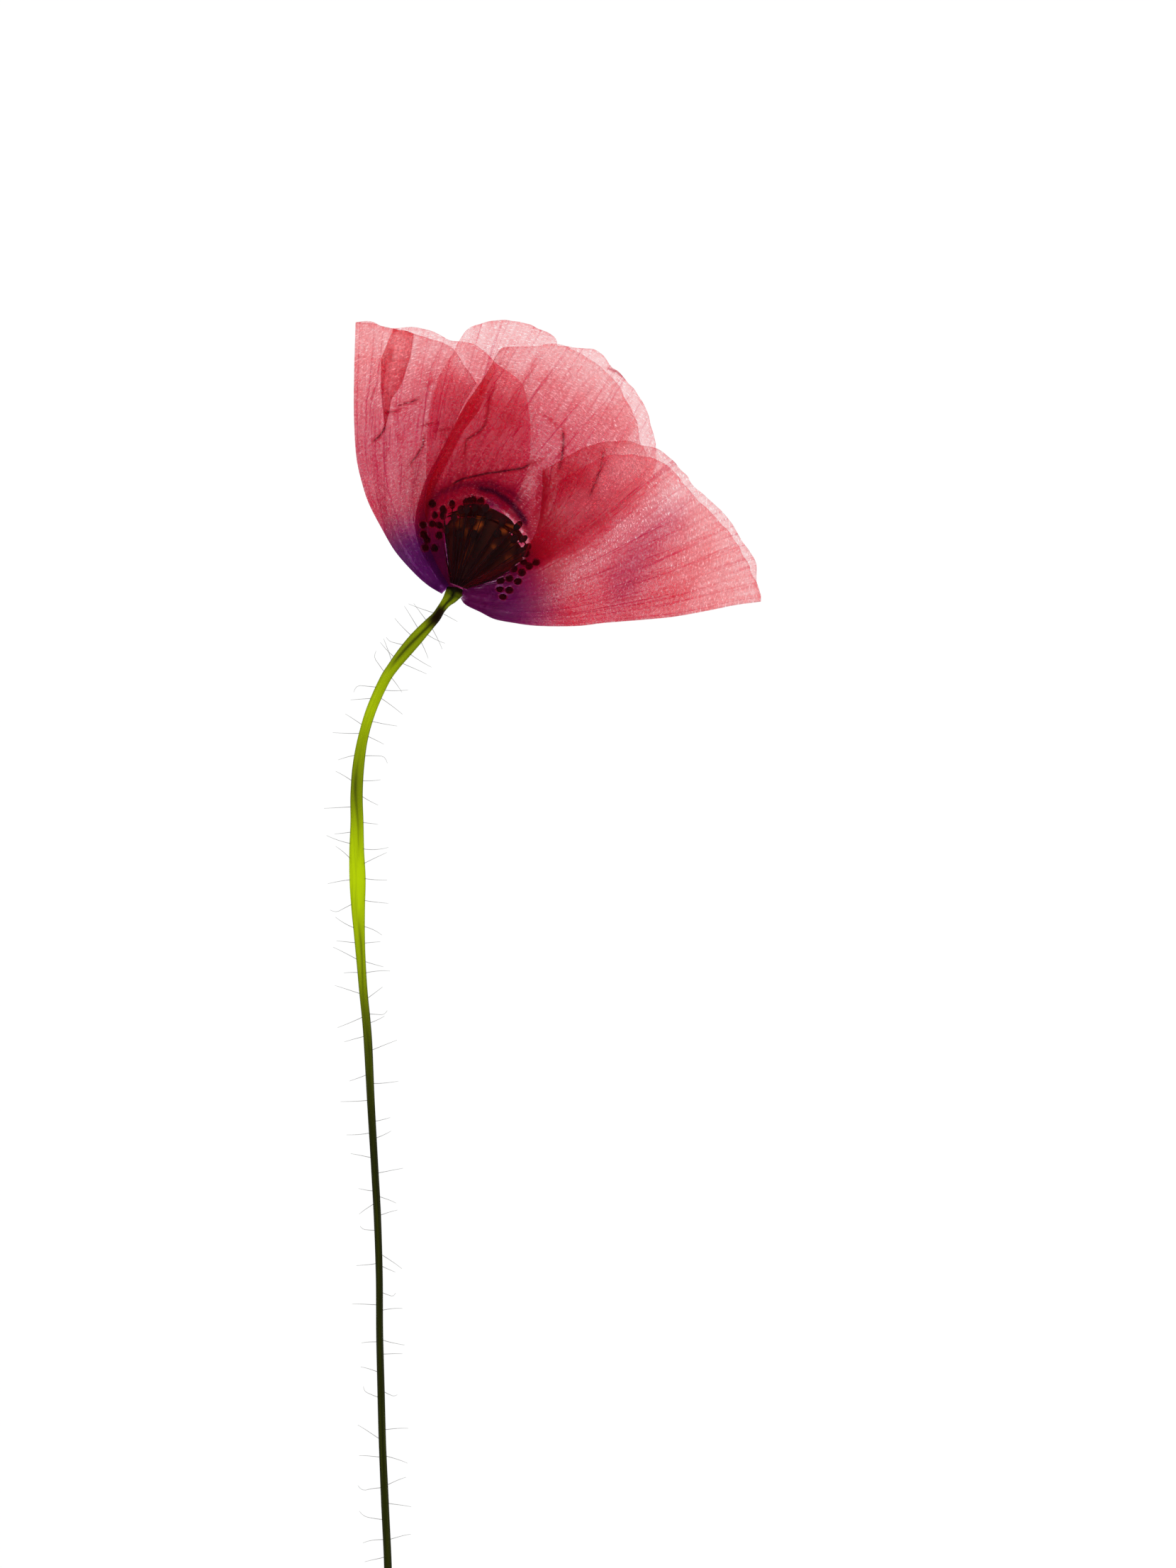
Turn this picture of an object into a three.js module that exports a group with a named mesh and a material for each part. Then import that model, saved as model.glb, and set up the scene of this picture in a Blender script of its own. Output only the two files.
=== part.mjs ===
// A corn poppy, picked and pressed flat: one flower seen from the side, on a long bent stalk.
//
// Millimetres, +Z up. The flower lies on the XY plane. X runs across the bloom and Y from the cut end of
// the stalk towards the petals. All places below are measured from the heart of the flower, where the
// petals meet the stalk; the finished group is then moved so that its origin is on the resting surface,
// under the middle of the outline.

import * as THREE from "three";

// ---------------------------------------------------------------- driving dimensions

const SHEET = 0.12; // thickness of a dried petal
const PITCH = 0.28; // rise from one pressed layer to the next
const FOLD_GAP = 0.3; // height of a petal's sharp fold, between the middles of its two halves
const PUFF = 0.07; // how much each layer stands further off the one below, at the top of a ripple
const FIRST_UPPER_LAYER = 3; // layers from this one up pass over the seed pod and the stamens

const SETTLE_FROM = 11; // right of the left petal, every layer comes down by one
const SETTLE_TO = 17;

const STALK_END = [-8.1, -129.7]; // middle of the cut end
const OUTLINE_MIDDLE = new THREE.Vector2(12.855, -47.365); // middle of the whole outline, seen from above

// The flower's own axis, from its heart to the crown of the seed pod.
const AXIS_ANGLE = THREE.MathUtils.degToRad(69.5);
const ALONG = new THREE.Vector2(Math.cos(AXIS_ANGLE), Math.sin(AXIS_ANGLE));
const ACROSS = new THREE.Vector2(ALONG.y, -ALONG.x);

// What lies between the lower and the upper petals.
const CONTENTS = {
  floor: 0.76, // height of its underside
  neck: 1.4, // its thickness at the heart
  body: 3.2, // its thickness around the seed pod
  middle: [3.4, 6.2],
  reach: [8.0, 7.2],
  fade: 2.2, // the petals are back together at this many times its reach
};

const POD = { start: 1.25, end: 10.3, thickness: 0.29 }; // thickness is for a radius of 1 mm
const POD_RADII = [0.55, 1.2, 2.4, 3.5, 4.4, 4.95, 5.0, 4.3];
const CROWN_BOW = 0.055; // how fast the crown falls back to either side of the axis, per mm

const DISC = { along: 11.1, across: 4.9, depth: 0.62, thickness: 1.3, lobes: 10, scallop: 0.05 };

const RECEPTACLE = { from: -0.35, to: 0.95, radius: 1.6, thickness: 0.66 };

const FILAMENT_RADIUS = 0.08;
const ANTHER = { length: 1.15, width: 0.82, thickness: 0.4 };
const STAMEN_FEET = { along: 1.2, spread: 3.0, level: 0.175 }; // level is the rise from one level to the next
const STAMEN_LEVELS = 8; // pressed levels, from behind the seed pod to in front of it
const LEVEL_ORDER = {
  beside: [3, 6, 1, 4, 7, 0, 5, 2],
  across: [7, 0, 6, 1], // only the outer levels pass the seed pod
};
const POD_SPREAD = 0.63; // a stamen nearer than this to the axis, in radians, passes the seed pod

// Middle of each anther, from the heart.
const ANTHERS = {
  left: [
    [-2.3, 5.7], [-3.5, 5.7], [-3.3, 6.7], [-3.7, 7.4], [-1.75, 7.3], [-3.8, 8.6], [-2.65, 8.8],
    [-1.75, 8.6], [-0.9, 8.1], [-2.35, 9.9], [-2.6, 11.3], [-1.3, 9.8], [-1.35, 10.7],
  ],
  crown: [
    [-0.2, 11.4], [0.15, 9.6], [1.6, 11.6], [1.7, 10.6], [2.5, 11.9], [2.7, 10.9], [3.5, 11.75],
    [4.1, 10.8], [4.75, 9.8], [6.2, 9.1], [6.7, 8.1],
  ],
  right: [
    [8.3, 8.65], [7.9, 7.4], [8.9, 6.9], [9.4, 5.9], [9.2, 5.0], [8.9, 4.0], [9.6, 3.4], [10.5, 3.9],
    [8.7, 2.6], [7.7, 3.1], [8.2, 1.5], [7.1, 1.9], [6.0, 1.6], [5.9, 0.6], [7.1, 0.4], [6.3, -0.4],
  ],
};

// Centre line of the stalk from the cut end to the heart, and its flattened width along the way.
const STALK_LINE = [
  STALK_END, [-8.6, -119], [-9.1, -108], [-9.4, -97.4], [-9.5, -86.6], [-9.9, -75.8], [-10.5, -65],
  [-11.2, -54], [-12.0, -43.4], [-12.3, -36.2], [-12.35, -27], [-12.15, -21.8], [-11.6, -18.2],
  [-10.5, -14.6], [-8.9, -11], [-7.0, -8.3], [-4.8, -5.6], [-3.1, -3.8], [-1.6, -2.0], [-0.45, -0.6],
];
const STALK_WIDTHS = [
  [0, 1.08], [0.42, 1.0], [0.56, 1.17], [0.64, 1.3], [0.71, 2.16], [0.76, 1.68], [0.84, 1.5],
  [0.875, 1.25], [0.92, 1.45], [0.95, 1.98], [0.975, 1.45], [0.99, 1.3], [1, 1.5],
];
const STALK_THICKNESS = { cut: 1.0, pressed: 0.62, neck: 1.1, clear: 0.003 };
const STALK_RISE_FROM = 0.93; // share of its length at which it starts to rise to the receptacle

// A petal is one or two leaves of tissue. Each is a fan of lines that start in a foot, pass a low and a
// high reach, and end in the margin. The lists run from the fold to the free edge, or from left to right
// on a petal with no fold. layer counts from the surface up; faces is the side that its back looks to.
const PETALS = {
  petal_outer_left: {
    closes: true,
    leaves: [
      {
        layer: 0,
        faces: -1,
        feet: [[-1.6, 0.15], [-0.5, 1.0]],
        low: [[-11, 4.5], [-4, 8], [3, 6.5]],
        high: [[-13.2, 16], [-2, 22], [9.4, 12]],
        margin: [
          [-12.5, 34.7], [-10.8, 34.8], [-8.6, 34.2], [-7, 34], [-5.4, 34.2], [-3.3, 33.9],
          [-1.8, 33.3], [-0.3, 32.4], [2.2, 31.9], [3.9, 31], [5.1, 29.7], [7, 28.4], [8.4, 26.8],
          [9.3, 24.6], [9.6, 21.5],
        ],
      },
      {
        layer: 6,
        faces: 1,
        feet: [[-1.6, 0.15], [-0.5, 1.0]],
        low: [[-11, 4.5], [-7.5, 7], [-3.6, 8]],
        high: [[-13.2, 16], [-7, 19], [0, 17]],
        margin: [
          [-12.5, 34.7], [-10.8, 34.6], [-9, 34.1], [-7.5, 33.7], [-5.1, 33], [-2.7, 32.4],
          [-0.9, 31.8], [0.1, 31.0], [1.5, 28.9], [3, 26.8],
        ],
      },
    ],
  },
  petal_outer_right: {
    closes: true,
    leaves: [
      {
        layer: 5,
        faces: 1,
        feet: [[1.2, -0.85], [1.15, 0.9]],
        low: [[6, -5.9], [9, -0.5], [8, 3]],
        high: [[20, -4.3], [17, 8], [11.6, 9]],
        margin: [
          [39.1, -0.9], [39.1, 0.4], [38.6, 1.8], [38.4, 3.4], [37.8, 5.2], [36.6, 7.1], [35.4, 9.1],
          [33.9, 10.9], [32.1, 12.4], [30.3, 14], [29.3, 15.6], [28.2, 16.7], [26.7, 18], [25.2, 18.9],
          [23.4, 19.4], [21.4, 19.6], [19.3, 19.3], [17.4, 18.7], [15.3, 17.7], [13, 16.6], [11.4, 15.8],
        ],
      },
      {
        layer: 1,
        faces: -1,
        feet: [[1.2, -0.85], [1.15, 0.9]],
        low: [[6, -5.9], [9, -1], [9, 2.5]],
        high: [[20, -4.3], [19, 4], [16, 8]],
        margin: [
          [39.1, -0.9], [38.9, 1], [38.1, 2.4], [37.5, 3.9], [36.4, 5.9], [34.9, 8.3], [33.1, 10.3],
          [31, 12.2], [29, 14.7], [27.4, 16.3], [25.8, 17.3], [23.4, 17.9], [21.4, 17.9], [19.3, 17.6],
        ],
      },
    ],
  },
  petal_inner_back: {
    leaves: [
      {
        layer: 2,
        faces: 1,
        feet: [[-1.1, 0.9], [1.1, 0.6]],
        low: [[-5.5, 8], [3, 10], [12, 4]],
        high: [[-4.5, 20], [7, 22], [23, 10]],
        margin: [
          [-2.1, 27.5], [-0.9, 29.5], [0.1, 31.1], [0.6, 32.4], [1.5, 33.5], [2.7, 34.3], [4.5, 34.8],
          [6.6, 35], [8.7, 34.6], [10.8, 33.8], [12.4, 33.1], [13.1, 32.4], [13.5, 31.7], [15.9, 31.6],
          [17.7, 31.2], [19.2, 30.4], [20.2, 29.2], [21.9, 27.5], [23.4, 25.7], [24.6, 23.5],
          [25.3, 21.4], [25.8, 19.2], [25.6, 17],
        ],
      },
    ],
  },
  petal_inner_front: {
    leaves: [
      {
        layer: 3,
        faces: -1,
        feet: [[-1.3, 1.0], [-0.6, 1.2]],
        low: [[-9, 8.5], [-5.2, 9]],
        high: [[-1.5, 20], [0.6, 18.5]],
        margin: [[5.3, 29.6], [5.5, 28.9]],
      },
      {
        layer: 4,
        faces: 1,
        feet: [[-1.3, 1.0], [1.1, 0.7]],
        low: [[-9, 8.5], [3, 10], [11, 4]],
        high: [[-1.5, 20], [9, 20], [22, 10]],
        margin: [
          [5.3, 29.6], [6.1, 31], [7.3, 31.5], [9, 31.4], [10.6, 31.5], [12, 31.8], [13.4, 31.8],
          [14.8, 31.5], [16.5, 30.6], [18.3, 29.3], [19.8, 28], [21, 26.6], [22, 25], [22.8, 23.2],
          [23.4, 21.4], [23.9, 19.6], [24.3, 17.6], [24.1, 15.6],
        ],
      },
    ],
  },
};

const PETAL_ROWS = 12; // from foot to margin
const LEAF_COLUMNS = {
  petal_outer_left: 12,
  petal_outer_right: 13,
  petal_inner_back: 20,
  petal_inner_front: 14,
};

// ---------------------------------------------------------------- heights

const smooth = (from, to, value) => THREE.MathUtils.smoothstep(value, from, to);
const mix = THREE.MathUtils.lerp;

/** Thickness of the seed pod and stamens between the petals at a point. */
function contentsAt(x, y) {
  const [mx, my] = CONTENTS.middle;
  const [rx, ry] = CONTENTS.reach;
  const far = Math.hypot((x - mx) / rx, (y - my) / ry);
  const most = mix(CONTENTS.neck, CONTENTS.body, smooth(1, 5, Math.hypot(x, y)));
  return most * (1 - smooth(1, CONTENTS.fade, far));
}

/** Height among the contents at a point: share 0 is their underside and 1 their top. */
function contentsHeight(x, y, share) {
  return CONTENTS.floor + contentsAt(x, y) * share;
}

/** The petals' slow ripple, from 0 to 1. It fans out from the heart and grows towards the margins. */
function ripple(x, y) {
  const reach = Math.hypot(x, y);
  const turn = Math.atan2(y, x);
  const fan = 0.5 + 0.3 * Math.sin(turn * 9 + 0.6) + 0.2 * Math.sin(turn * 17 + reach * 0.12);
  return fan * smooth(9, 30, reach);
}

/** Height of the middle of a pressed layer at a point. Each layer clears the one below it everywhere. */
function layerHeight(layer, x, y) {
  const settled = layer > 0 ? smooth(SETTLE_FROM, SETTLE_TO, x) : 0;
  const over = layer >= FIRST_UPPER_LAYER ? contentsAt(x, y) : 0;
  return SHEET / 2 + (PITCH + PUFF * ripple(x, y)) * (layer - settled) + over;
}

// ---------------------------------------------------------------- petals

const splineOf = (points) => new THREE.SplineCurve(points.map(([x, y]) => new THREE.Vector2(x, y)));

/** A leaf of tissue as a function of u, from its fold to its free edge, and v, from foot to margin. */
function leafSurface({ feet, low, high, margin }) {
  const rails = [feet, low, high].map(splineOf);
  const edge = splineOf(margin);
  return (u, v) => {
    const [foot, lower, upper] = rails.map((rail) => rail.getPoint(u));
    return new THREE.CubicBezierCurve(foot, lower, upper, edge.getPointAt(u)).getPoint(v);
  };
}

/** Height of a leaf's middle. On a petal that closes, the upper leaf comes down to the lower at the fold. */
function leafHeight(petal, leaf, u, v, x, y) {
  const own = layerHeight(leaf.layer, x, y);
  const lowest = Math.min(...petal.leaves.map((one) => one.layer));
  if (!petal.closes || leaf.layer === lowest) return own;
  const closed = (1 - smooth(0, 0.3, u)) * smooth(0.1, 0.35, v);
  return mix(own, layerHeight(lowest, x, y) + FOLD_GAP, closed);
}

/** A petal as a slab bent into place: its columns run across it, through the fold, and its rows along it. */
function petalGeometry(petal, columns) {
  const folded = petal.leaves.length === 2;
  const surfaces = petal.leaves.map(leafSurface);
  const slab = new THREE.BoxGeometry(1, 1, 1, folded ? 2 * columns : columns, PETAL_ROWS, 1);
  const place = slab.getAttribute("position");
  for (let i = 0; i < place.count; i++) {
    const across = place.getX(i) + 0.5;
    const v = place.getY(i) + 0.5;
    const side = place.getZ(i);
    const which = folded && across >= 0.5 ? 1 : 0;
    const leaf = petal.leaves[which];
    const u = folded ? Math.abs(2 * across - 1) : across;
    const at = surfaces[which](u, v);
    if (folded && u < 1e-6) {
      const ahead = surfaces[1](u, Math.min(v + 0.01, 1)).sub(surfaces[1](u, Math.max(v - 0.01, 0)));
      const turned = petal.leaves[1].faces > 0 ? 1 : -1;
      const out = new THREE.Vector2(-ahead.y, ahead.x).normalize().multiplyScalar(turned);
      const heights = petal.leaves.map((one) => leafHeight(petal, one, 0, v, at.x, at.y));
      const middle = (heights[0] + heights[1]) / 2;
      place.setXYZ(i, at.x + out.x * side * SHEET, at.y + out.y * side * SHEET, middle);
    } else {
      const height = leafHeight(petal, leaf, u, v, at.x, at.y);
      place.setXYZ(i, at.x, at.y, height + leaf.faces * side * SHEET);
    }
  }
  return slab;
}

// ---------------------------------------------------------------- swept and flattened pieces

/**
 * A closed tube along a path, with a flattened section. section(t) gives its half width and half
 * thickness at share t of the length, and how far it bows back to either side. Widths lie in XY.
 */
function sweptGeometry(path, sides, rings, section) {
  const tube = new THREE.CylinderGeometry(1, 1, 1, sides, rings);
  const place = tube.getAttribute("position");
  for (let i = 0; i < place.count; i++) {
    const t = place.getY(i) + 0.5;
    const point = path.getPointAt(t);
    const ahead = path.getTangentAt(t);
    const flat = new THREE.Vector3(ahead.y, -ahead.x, 0).normalize();
    const up = new THREE.Vector3().crossVectors(flat, ahead).normalize();
    const { width, thickness, bow = 0 } = section(t);
    point.addScaledVector(ahead, -bow * (place.getX(i) * width) ** 2);
    point.addScaledVector(flat, place.getX(i) * width);
    point.addScaledVector(up, place.getZ(i) * thickness);
    place.setXYZ(i, point.x, point.y, point.z);
  }
  return tube;
}

/** A value read off a list of [position, value] pairs, eased between them. */
function valueAlong(pairs, t) {
  const next = Math.max(1, pairs.findIndex(([at]) => at >= t));
  const [a, b] = [pairs[next - 1], pairs[next]];
  return mix(a[1], b[1], smooth(a[0], b[0], t));
}

/** A straight path along the flower's axis, halfway up its contents. */
function axisPath(from, to) {
  const steps = 8;
  const points = Array.from({ length: steps + 1 }, (_, i) => {
    const { x, y } = ALONG.clone().multiplyScalar(mix(from, to, i / steps));
    return new THREE.Vector3(x, y, contentsHeight(x, y, 0.5));
  });
  return new THREE.CatmullRomCurve3(points);
}

function stalkGeometry() {
  const { cut, pressed, neck } = STALK_THICKNESS;
  const thick = (t) => mix(mix(cut, pressed, smooth(0.45, 0.65, t)), neck, smooth(0.94, 1, t));
  const line = new THREE.CatmullRomCurve3(STALK_LINE.map(([x, y]) => new THREE.Vector3(x, y, 0)));
  const points = line.getSpacedPoints(80).map((point, i) => {
    const t = i / 80;
    const lying = thick(t) / 2 + STALK_THICKNESS.clear;
    point.z = mix(lying, contentsHeight(0, 0, 0.5), smooth(STALK_RISE_FROM, 0.995, t));
    return point;
  });
  const path = new THREE.CatmullRomCurve3(points);
  return sweptGeometry(path, 8, 52, (t) => {
    return { width: valueAlong(STALK_WIDTHS, t) / 2, thickness: thick(t) / 2 };
  });
}

function receptacleGeometry() {
  const { from, to, radius, thickness } = RECEPTACLE;
  const width = (t) => radius * Math.sqrt(0.42 + 0.58 * Math.sin(Math.PI * mix(0.12, 0.72, t)) ** 2);
  return sweptGeometry(axisPath(from, to), 14, 5, (t) => {
    return { width: width(t), thickness: thickness * (0.8 + 0.2 * t) };
  });
}

/** Radius of the seed pod at a distance along the axis. */
function podRadius(along) {
  const last = POD_RADII.length - 1;
  const step = THREE.MathUtils.clamp((along - POD.start) / (POD.end - POD.start), 0, 1) * last;
  const low = Math.min(Math.floor(step), last - 1);
  return mix(POD_RADII[low], POD_RADII[low + 1], step - low);
}

function podGeometry() {
  return sweptGeometry(axisPath(POD.start, POD.end), 20, 14, (t) => {
    const radius = podRadius(mix(POD.start, POD.end, t));
    const thickness = POD.thickness * Math.sqrt(radius);
    return { width: radius, thickness, bow: CROWN_BOW * smooth(0.5, 1, t) };
  });
}

/** The disc on the pod's crown, pressed edge on: a scalloped plate that bows with the crown. */
function discGeometry() {
  const plate = new THREE.CylinderGeometry(1, 1, 1, 4 * DISC.lobes, 2);
  const place = plate.getAttribute("position");
  const middle = ALONG.clone().multiplyScalar(DISC.along);
  for (let i = 0; i < place.count; i++) {
    const [px, py, pz] = [place.getX(i), place.getY(i), place.getZ(i)];
    const rim = (1 + DISC.scallop * Math.cos(DISC.lobes * Math.atan2(pz, px))) * (1 - 0.3 * py * py);
    const across = px * DISC.across * rim;
    const along = -pz * DISC.depth * rim - CROWN_BOW * across ** 2;
    const at = middle.clone().addScaledVector(ALONG, along).addScaledVector(ACROSS, across);
    place.setXYZ(i, at.x, at.y, contentsHeight(at.x, at.y, 0.5) + py * DISC.thickness);
  }
  return plate;
}

// ---------------------------------------------------------------- stamens

/** Every stamen with its name and anther, in order from left to right around the heart. */
function stamensInOrder() {
  const all = Object.entries(ANTHERS).flatMap(([group, places]) =>
    places.map(([x, y], index) => {
      const number = String(index + 1).padStart(2, "0");
      return { name: `stamen_${group}_${number}`, angle: Math.atan2(y, x), tip: new THREE.Vector2(x, y) };
    }),
  );
  return all.sort((a, b) => b.angle - a.angle);
}

/** One stamen: a thin filament from its foot on the receptacle to its anther, in one piece. */
function stamenGeometry({ angle, tip }, rank, count) {
  const order = Math.abs(angle - AXIS_ANGLE) < POD_SPREAD ? LEVEL_ORDER.across : LEVEL_ORDER.beside;
  const level = order[rank % order.length] - (STAMEN_LEVELS - 1) / 2;
  const turn = rank / (count - 1) - 0.5;
  const foot = ALONG.clone().multiplyScalar(STAMEN_FEET.along);
  foot.addScaledVector(ACROSS, STAMEN_FEET.spread * turn);
  const ahead = tip.clone().sub(foot).normalize();
  const end = tip.clone().addScaledVector(ahead, ANTHER.length / 2);
  const points = Array.from({ length: 9 }, (_, i) => {
    const t = i / 8;
    const { x, y } = foot.clone().lerp(end, t);
    const here = contentsAt(x, y);
    const own = (level * (here - ANTHER.thickness - 0.08)) / (STAMEN_LEVELS - 1);
    const rise = mix(level * STAMEN_FEET.level, own, smooth(0, 0.5, t));
    return new THREE.Vector3(x, y, contentsHeight(x, y, 0.5) + rise);
  });
  const path = new THREE.CatmullRomCurve3(points);
  const neck = 1 - ANTHER.length / path.getLength();
  return sweptGeometry(path, 5, 11, (t) => {
    const swell = t < neck ? 0 : Math.sqrt(Math.sin(Math.PI * mix(0.06, 0.94, (t - neck) / (1 - neck))));
    return {
      width: Math.max(FILAMENT_RADIUS, (swell * ANTHER.width) / 2),
      thickness: Math.max(FILAMENT_RADIUS, (swell * ANTHER.thickness) / 2),
    };
  });
}

// ---------------------------------------------------------------- the flower

const FINISHES = {
  petal: { color: 0xd4495c, roughness: 0.6 },
  stalk: { color: 0x8fa80a, roughness: 0.5 },
  pod: { color: 0x2a1a0c, roughness: 0.7 },
  disc: { color: 0x3a2010, roughness: 0.8 },
  stamen: { color: 0x120c18, roughness: 0.8 },
};

const material = (finish) => new THREE.MeshStandardMaterial({ ...FINISHES[finish], metalness: 0 });

function piece(name, geometry, finish) {
  const mesh = new THREE.Mesh(geometry, material(finish));
  mesh.name = name;
  return mesh;
}

const poppy = new THREE.Group();
poppy.name = "pressed_corn_poppy";
poppy.add(piece("stalk", stalkGeometry(), "stalk"));
poppy.add(piece("receptacle", receptacleGeometry(), "stalk"));
poppy.add(piece("seed_pod", podGeometry(), "pod"));
poppy.add(piece("stigmatic_disc", discGeometry(), "disc"));
for (const [name, petal] of Object.entries(PETALS)) {
  poppy.add(piece(name, petalGeometry(petal, LEAF_COLUMNS[name]), "petal"));
}
stamensInOrder().forEach((stamen, rank, all) => {
  poppy.add(piece(stamen.name, stamenGeometry(stamen, rank, all.length), "stamen"));
});
poppy.position.set(-OUTLINE_MIDDLE.x, -OUTLINE_MIDDLE.y, 0);

export default poppy;
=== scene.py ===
"""A corn poppy, picked and pressed flat, lying on a pale glowing table.

The bloom lies on its side. Four papery petals fold round a dark seed pod and its stamens, and light
comes up through them. Lengths are in millimetres unless a name says otherwise. Outlines are given on
a drawing grid, whose columns run to the right and whose rows run down, towards the cut stalk. Arrays
named flat hold places in millimetres from the heart, with x and y last, and v holds one share of the
way from a petal's foot to its margin for each row.
"""

from __future__ import annotations

import logging
import math
from dataclasses import dataclass, field
from enum import Enum

import bpy
import numpy as np
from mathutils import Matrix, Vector

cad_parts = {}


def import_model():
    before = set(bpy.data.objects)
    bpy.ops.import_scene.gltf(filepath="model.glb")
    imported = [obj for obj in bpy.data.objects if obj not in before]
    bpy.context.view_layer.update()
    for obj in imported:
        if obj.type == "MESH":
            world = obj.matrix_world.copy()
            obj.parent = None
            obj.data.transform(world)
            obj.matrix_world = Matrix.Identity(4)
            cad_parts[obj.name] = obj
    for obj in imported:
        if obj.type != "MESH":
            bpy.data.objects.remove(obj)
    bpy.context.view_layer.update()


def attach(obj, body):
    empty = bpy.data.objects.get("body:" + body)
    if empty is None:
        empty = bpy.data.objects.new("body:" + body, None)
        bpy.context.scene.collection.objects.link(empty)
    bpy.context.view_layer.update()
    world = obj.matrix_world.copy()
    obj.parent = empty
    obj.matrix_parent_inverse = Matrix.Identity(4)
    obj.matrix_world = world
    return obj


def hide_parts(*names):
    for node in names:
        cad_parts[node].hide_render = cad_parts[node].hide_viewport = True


LOG = logging.getLogger("poppy")

MM = 0.001  # metres
GRID_STEP = 0.09  # millimetres
HEART_ON_GRID = (640.0, 838.0)  # where the petals meet the stalk
HEART_IN_ROW = (-13.2, 47.4)  # the same place in the shared frame, in millimetres
VIEW = (1659, 2212)  # grid steps across and down the whole view
AXIS_TURN = math.radians(69.5)  # how the pod leans
ALONG = np.array([math.cos(AXIS_TURN), math.sin(AXIS_TURN)])
ACROSS = np.array([ALONG[1], -ALONG[0]])

WHITE = (1.0, 1.0, 1.0, 1.0)

Array = np.ndarray
Finish = bpy.types.Material
Piece = bpy.types.Object
Points = tuple[tuple[float, float], ...]
Faces = list[tuple[int, ...]]


class Slot(Enum):
    """The record's material slots."""

    PETAL = "petal"
    STALK = "stalk"
    POD = "seed_pod"
    DISC = "stigmatic_disc"
    STAMEN = "stamen"


# ---------------------------------------------------------------- small tools


def linear(code: str) -> tuple[float, float, float, float]:
    """Turns an sRGB hex colour to linear light.

    Args:
        code: six hex digits, with or without a leading hash sign.

    Returns:
        Red, green, blue and an opaque alpha, from 0 to 1.
    """
    code = code.lstrip("#")
    steps = [int(code[i : i + 2], 16) / 255 for i in (0, 2, 4)]
    light = [c / 12.92 if c <= 0.04045 else ((c + 0.055) / 1.055) ** 2.4 for c in steps]
    return light[0], light[1], light[2], 1.0


def add_node(
    tree: bpy.types.NodeTree, kind: str, inputs: dict[int | str, object] | None = None, **settings: object
) -> bpy.types.Node:
    """Adds a node with its settings, input values and links.

    Args:
        tree: node tree that gets the node.
        kind: the node's type name.
        inputs: value, or output socket to link, for each input by name or number.
        **settings: attributes of the node itself.

    Returns:
        The new node.
    """
    node = tree.nodes.new(kind)
    for name, value in settings.items():
        setattr(node, name, value)
    for key, value in (inputs or {}).items():
        if isinstance(value, bpy.types.NodeSocket):
            tree.links.new(value, node.inputs[key])
        else:
            node.inputs[key].default_value = value
    return node


def new_material(name: str) -> tuple[Finish, bpy.types.NodeTree, bpy.types.Node]:
    """Makes an empty node material.

    Args:
        name: name of the material.

    Returns:
        The material, its node tree and its output node.
    """
    material = bpy.data.materials.new(name)
    material.use_nodes = True
    tree = material.node_tree
    tree.nodes.clear()
    return material, tree, add_node(tree, "ShaderNodeOutputMaterial")


def smooth(start: float, end: float, value: Array | float) -> Array:
    """Eases from 0 where the value is at start to 1 where it is at end, which may be the lower."""
    t = np.clip((np.asarray(value, float) - start) / (end - start), 0.0, 1.0)
    return t * t * (3 - 2 * t)


def from_grid(points: Points | Array) -> Array:
    """Turns grid places to millimetres from the heart, with rows upwards.

    Args:
        points: places on the drawing grid.

    Returns:
        An array with x and y last.
    """
    places = np.asarray(points, float)
    x = (places[..., 0] - HEART_ON_GRID[0]) * GRID_STEP
    y = (HEART_ON_GRID[1] - places[..., 1]) * GRID_STEP
    return np.stack([x, y], -1)


def to_row(places: Array) -> Array:
    """Turns millimetres from the heart, with the height last, to metres in the shared frame."""
    return (places + np.array([HEART_IN_ROW[0], HEART_IN_ROW[1], 0.0])) * MM


def on_axis(flat: Array) -> tuple[Array, Array]:
    """Turns flat places to their distances along and across the pod's axis."""
    return flat @ ALONG, flat @ ACROSS


def reach_of(flat: Array) -> Array:
    """Gives the distance of flat places from the heart."""
    return np.linalg.norm(flat, axis=-1)


def unit(vectors: Array) -> Array:
    """Scales vectors, with their coordinates last, to length 1."""
    return vectors / np.linalg.norm(vectors, axis=-1, keepdims=True)


def run_of(line: Array) -> Array:
    """Gives the length of a polyline up to each of its points."""
    return np.r_[0, np.cumsum(np.linalg.norm(np.diff(line, axis=0), axis=1))]


def spline(points: Array, t: Array) -> Array:
    """Reads an even Catmull-Rom curve through points.

    Args:
        points: control points, one per row.
        t: share of the way along, from 0 to 1, of any shape.

    Returns:
        A place for each t.
    """
    last = len(points) - 1
    at = np.clip(np.asarray(t, float), 0, 1) * last
    low = np.minimum(at.astype(int), last - 1)
    f = (at - low)[..., None]
    a, b = points[np.maximum(low - 1, 0)], points[low]
    c, d = points[low + 1], points[np.minimum(low + 2, last)]
    v0, v1 = (c - a) / 2, (d - b) / 2
    return (2 * b - 2 * c + v0 + v1) * f**3 + (3 * c - 3 * b - 2 * v0 - v1) * f**2 + v0 * f + b


def by_length(curve: Array, share: Array) -> Array:
    """Reads a polyline by length.

    Args:
        curve: the polyline's points, one per row.
        share: share of its length, of any shape.

    Returns:
        A place for each share.
    """
    run = run_of(curve)
    axes = [np.interp(share, run / run[-1], curve[:, k]) for k in range(curve.shape[1])]
    return np.stack(axes, -1)


def smooth_curve(points: Array, share: Array) -> Array:
    """Reads a Catmull-Rom curve through points by its length."""
    return by_length(spline(points, np.linspace(0, 1, 40 * len(points))), share)


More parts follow.
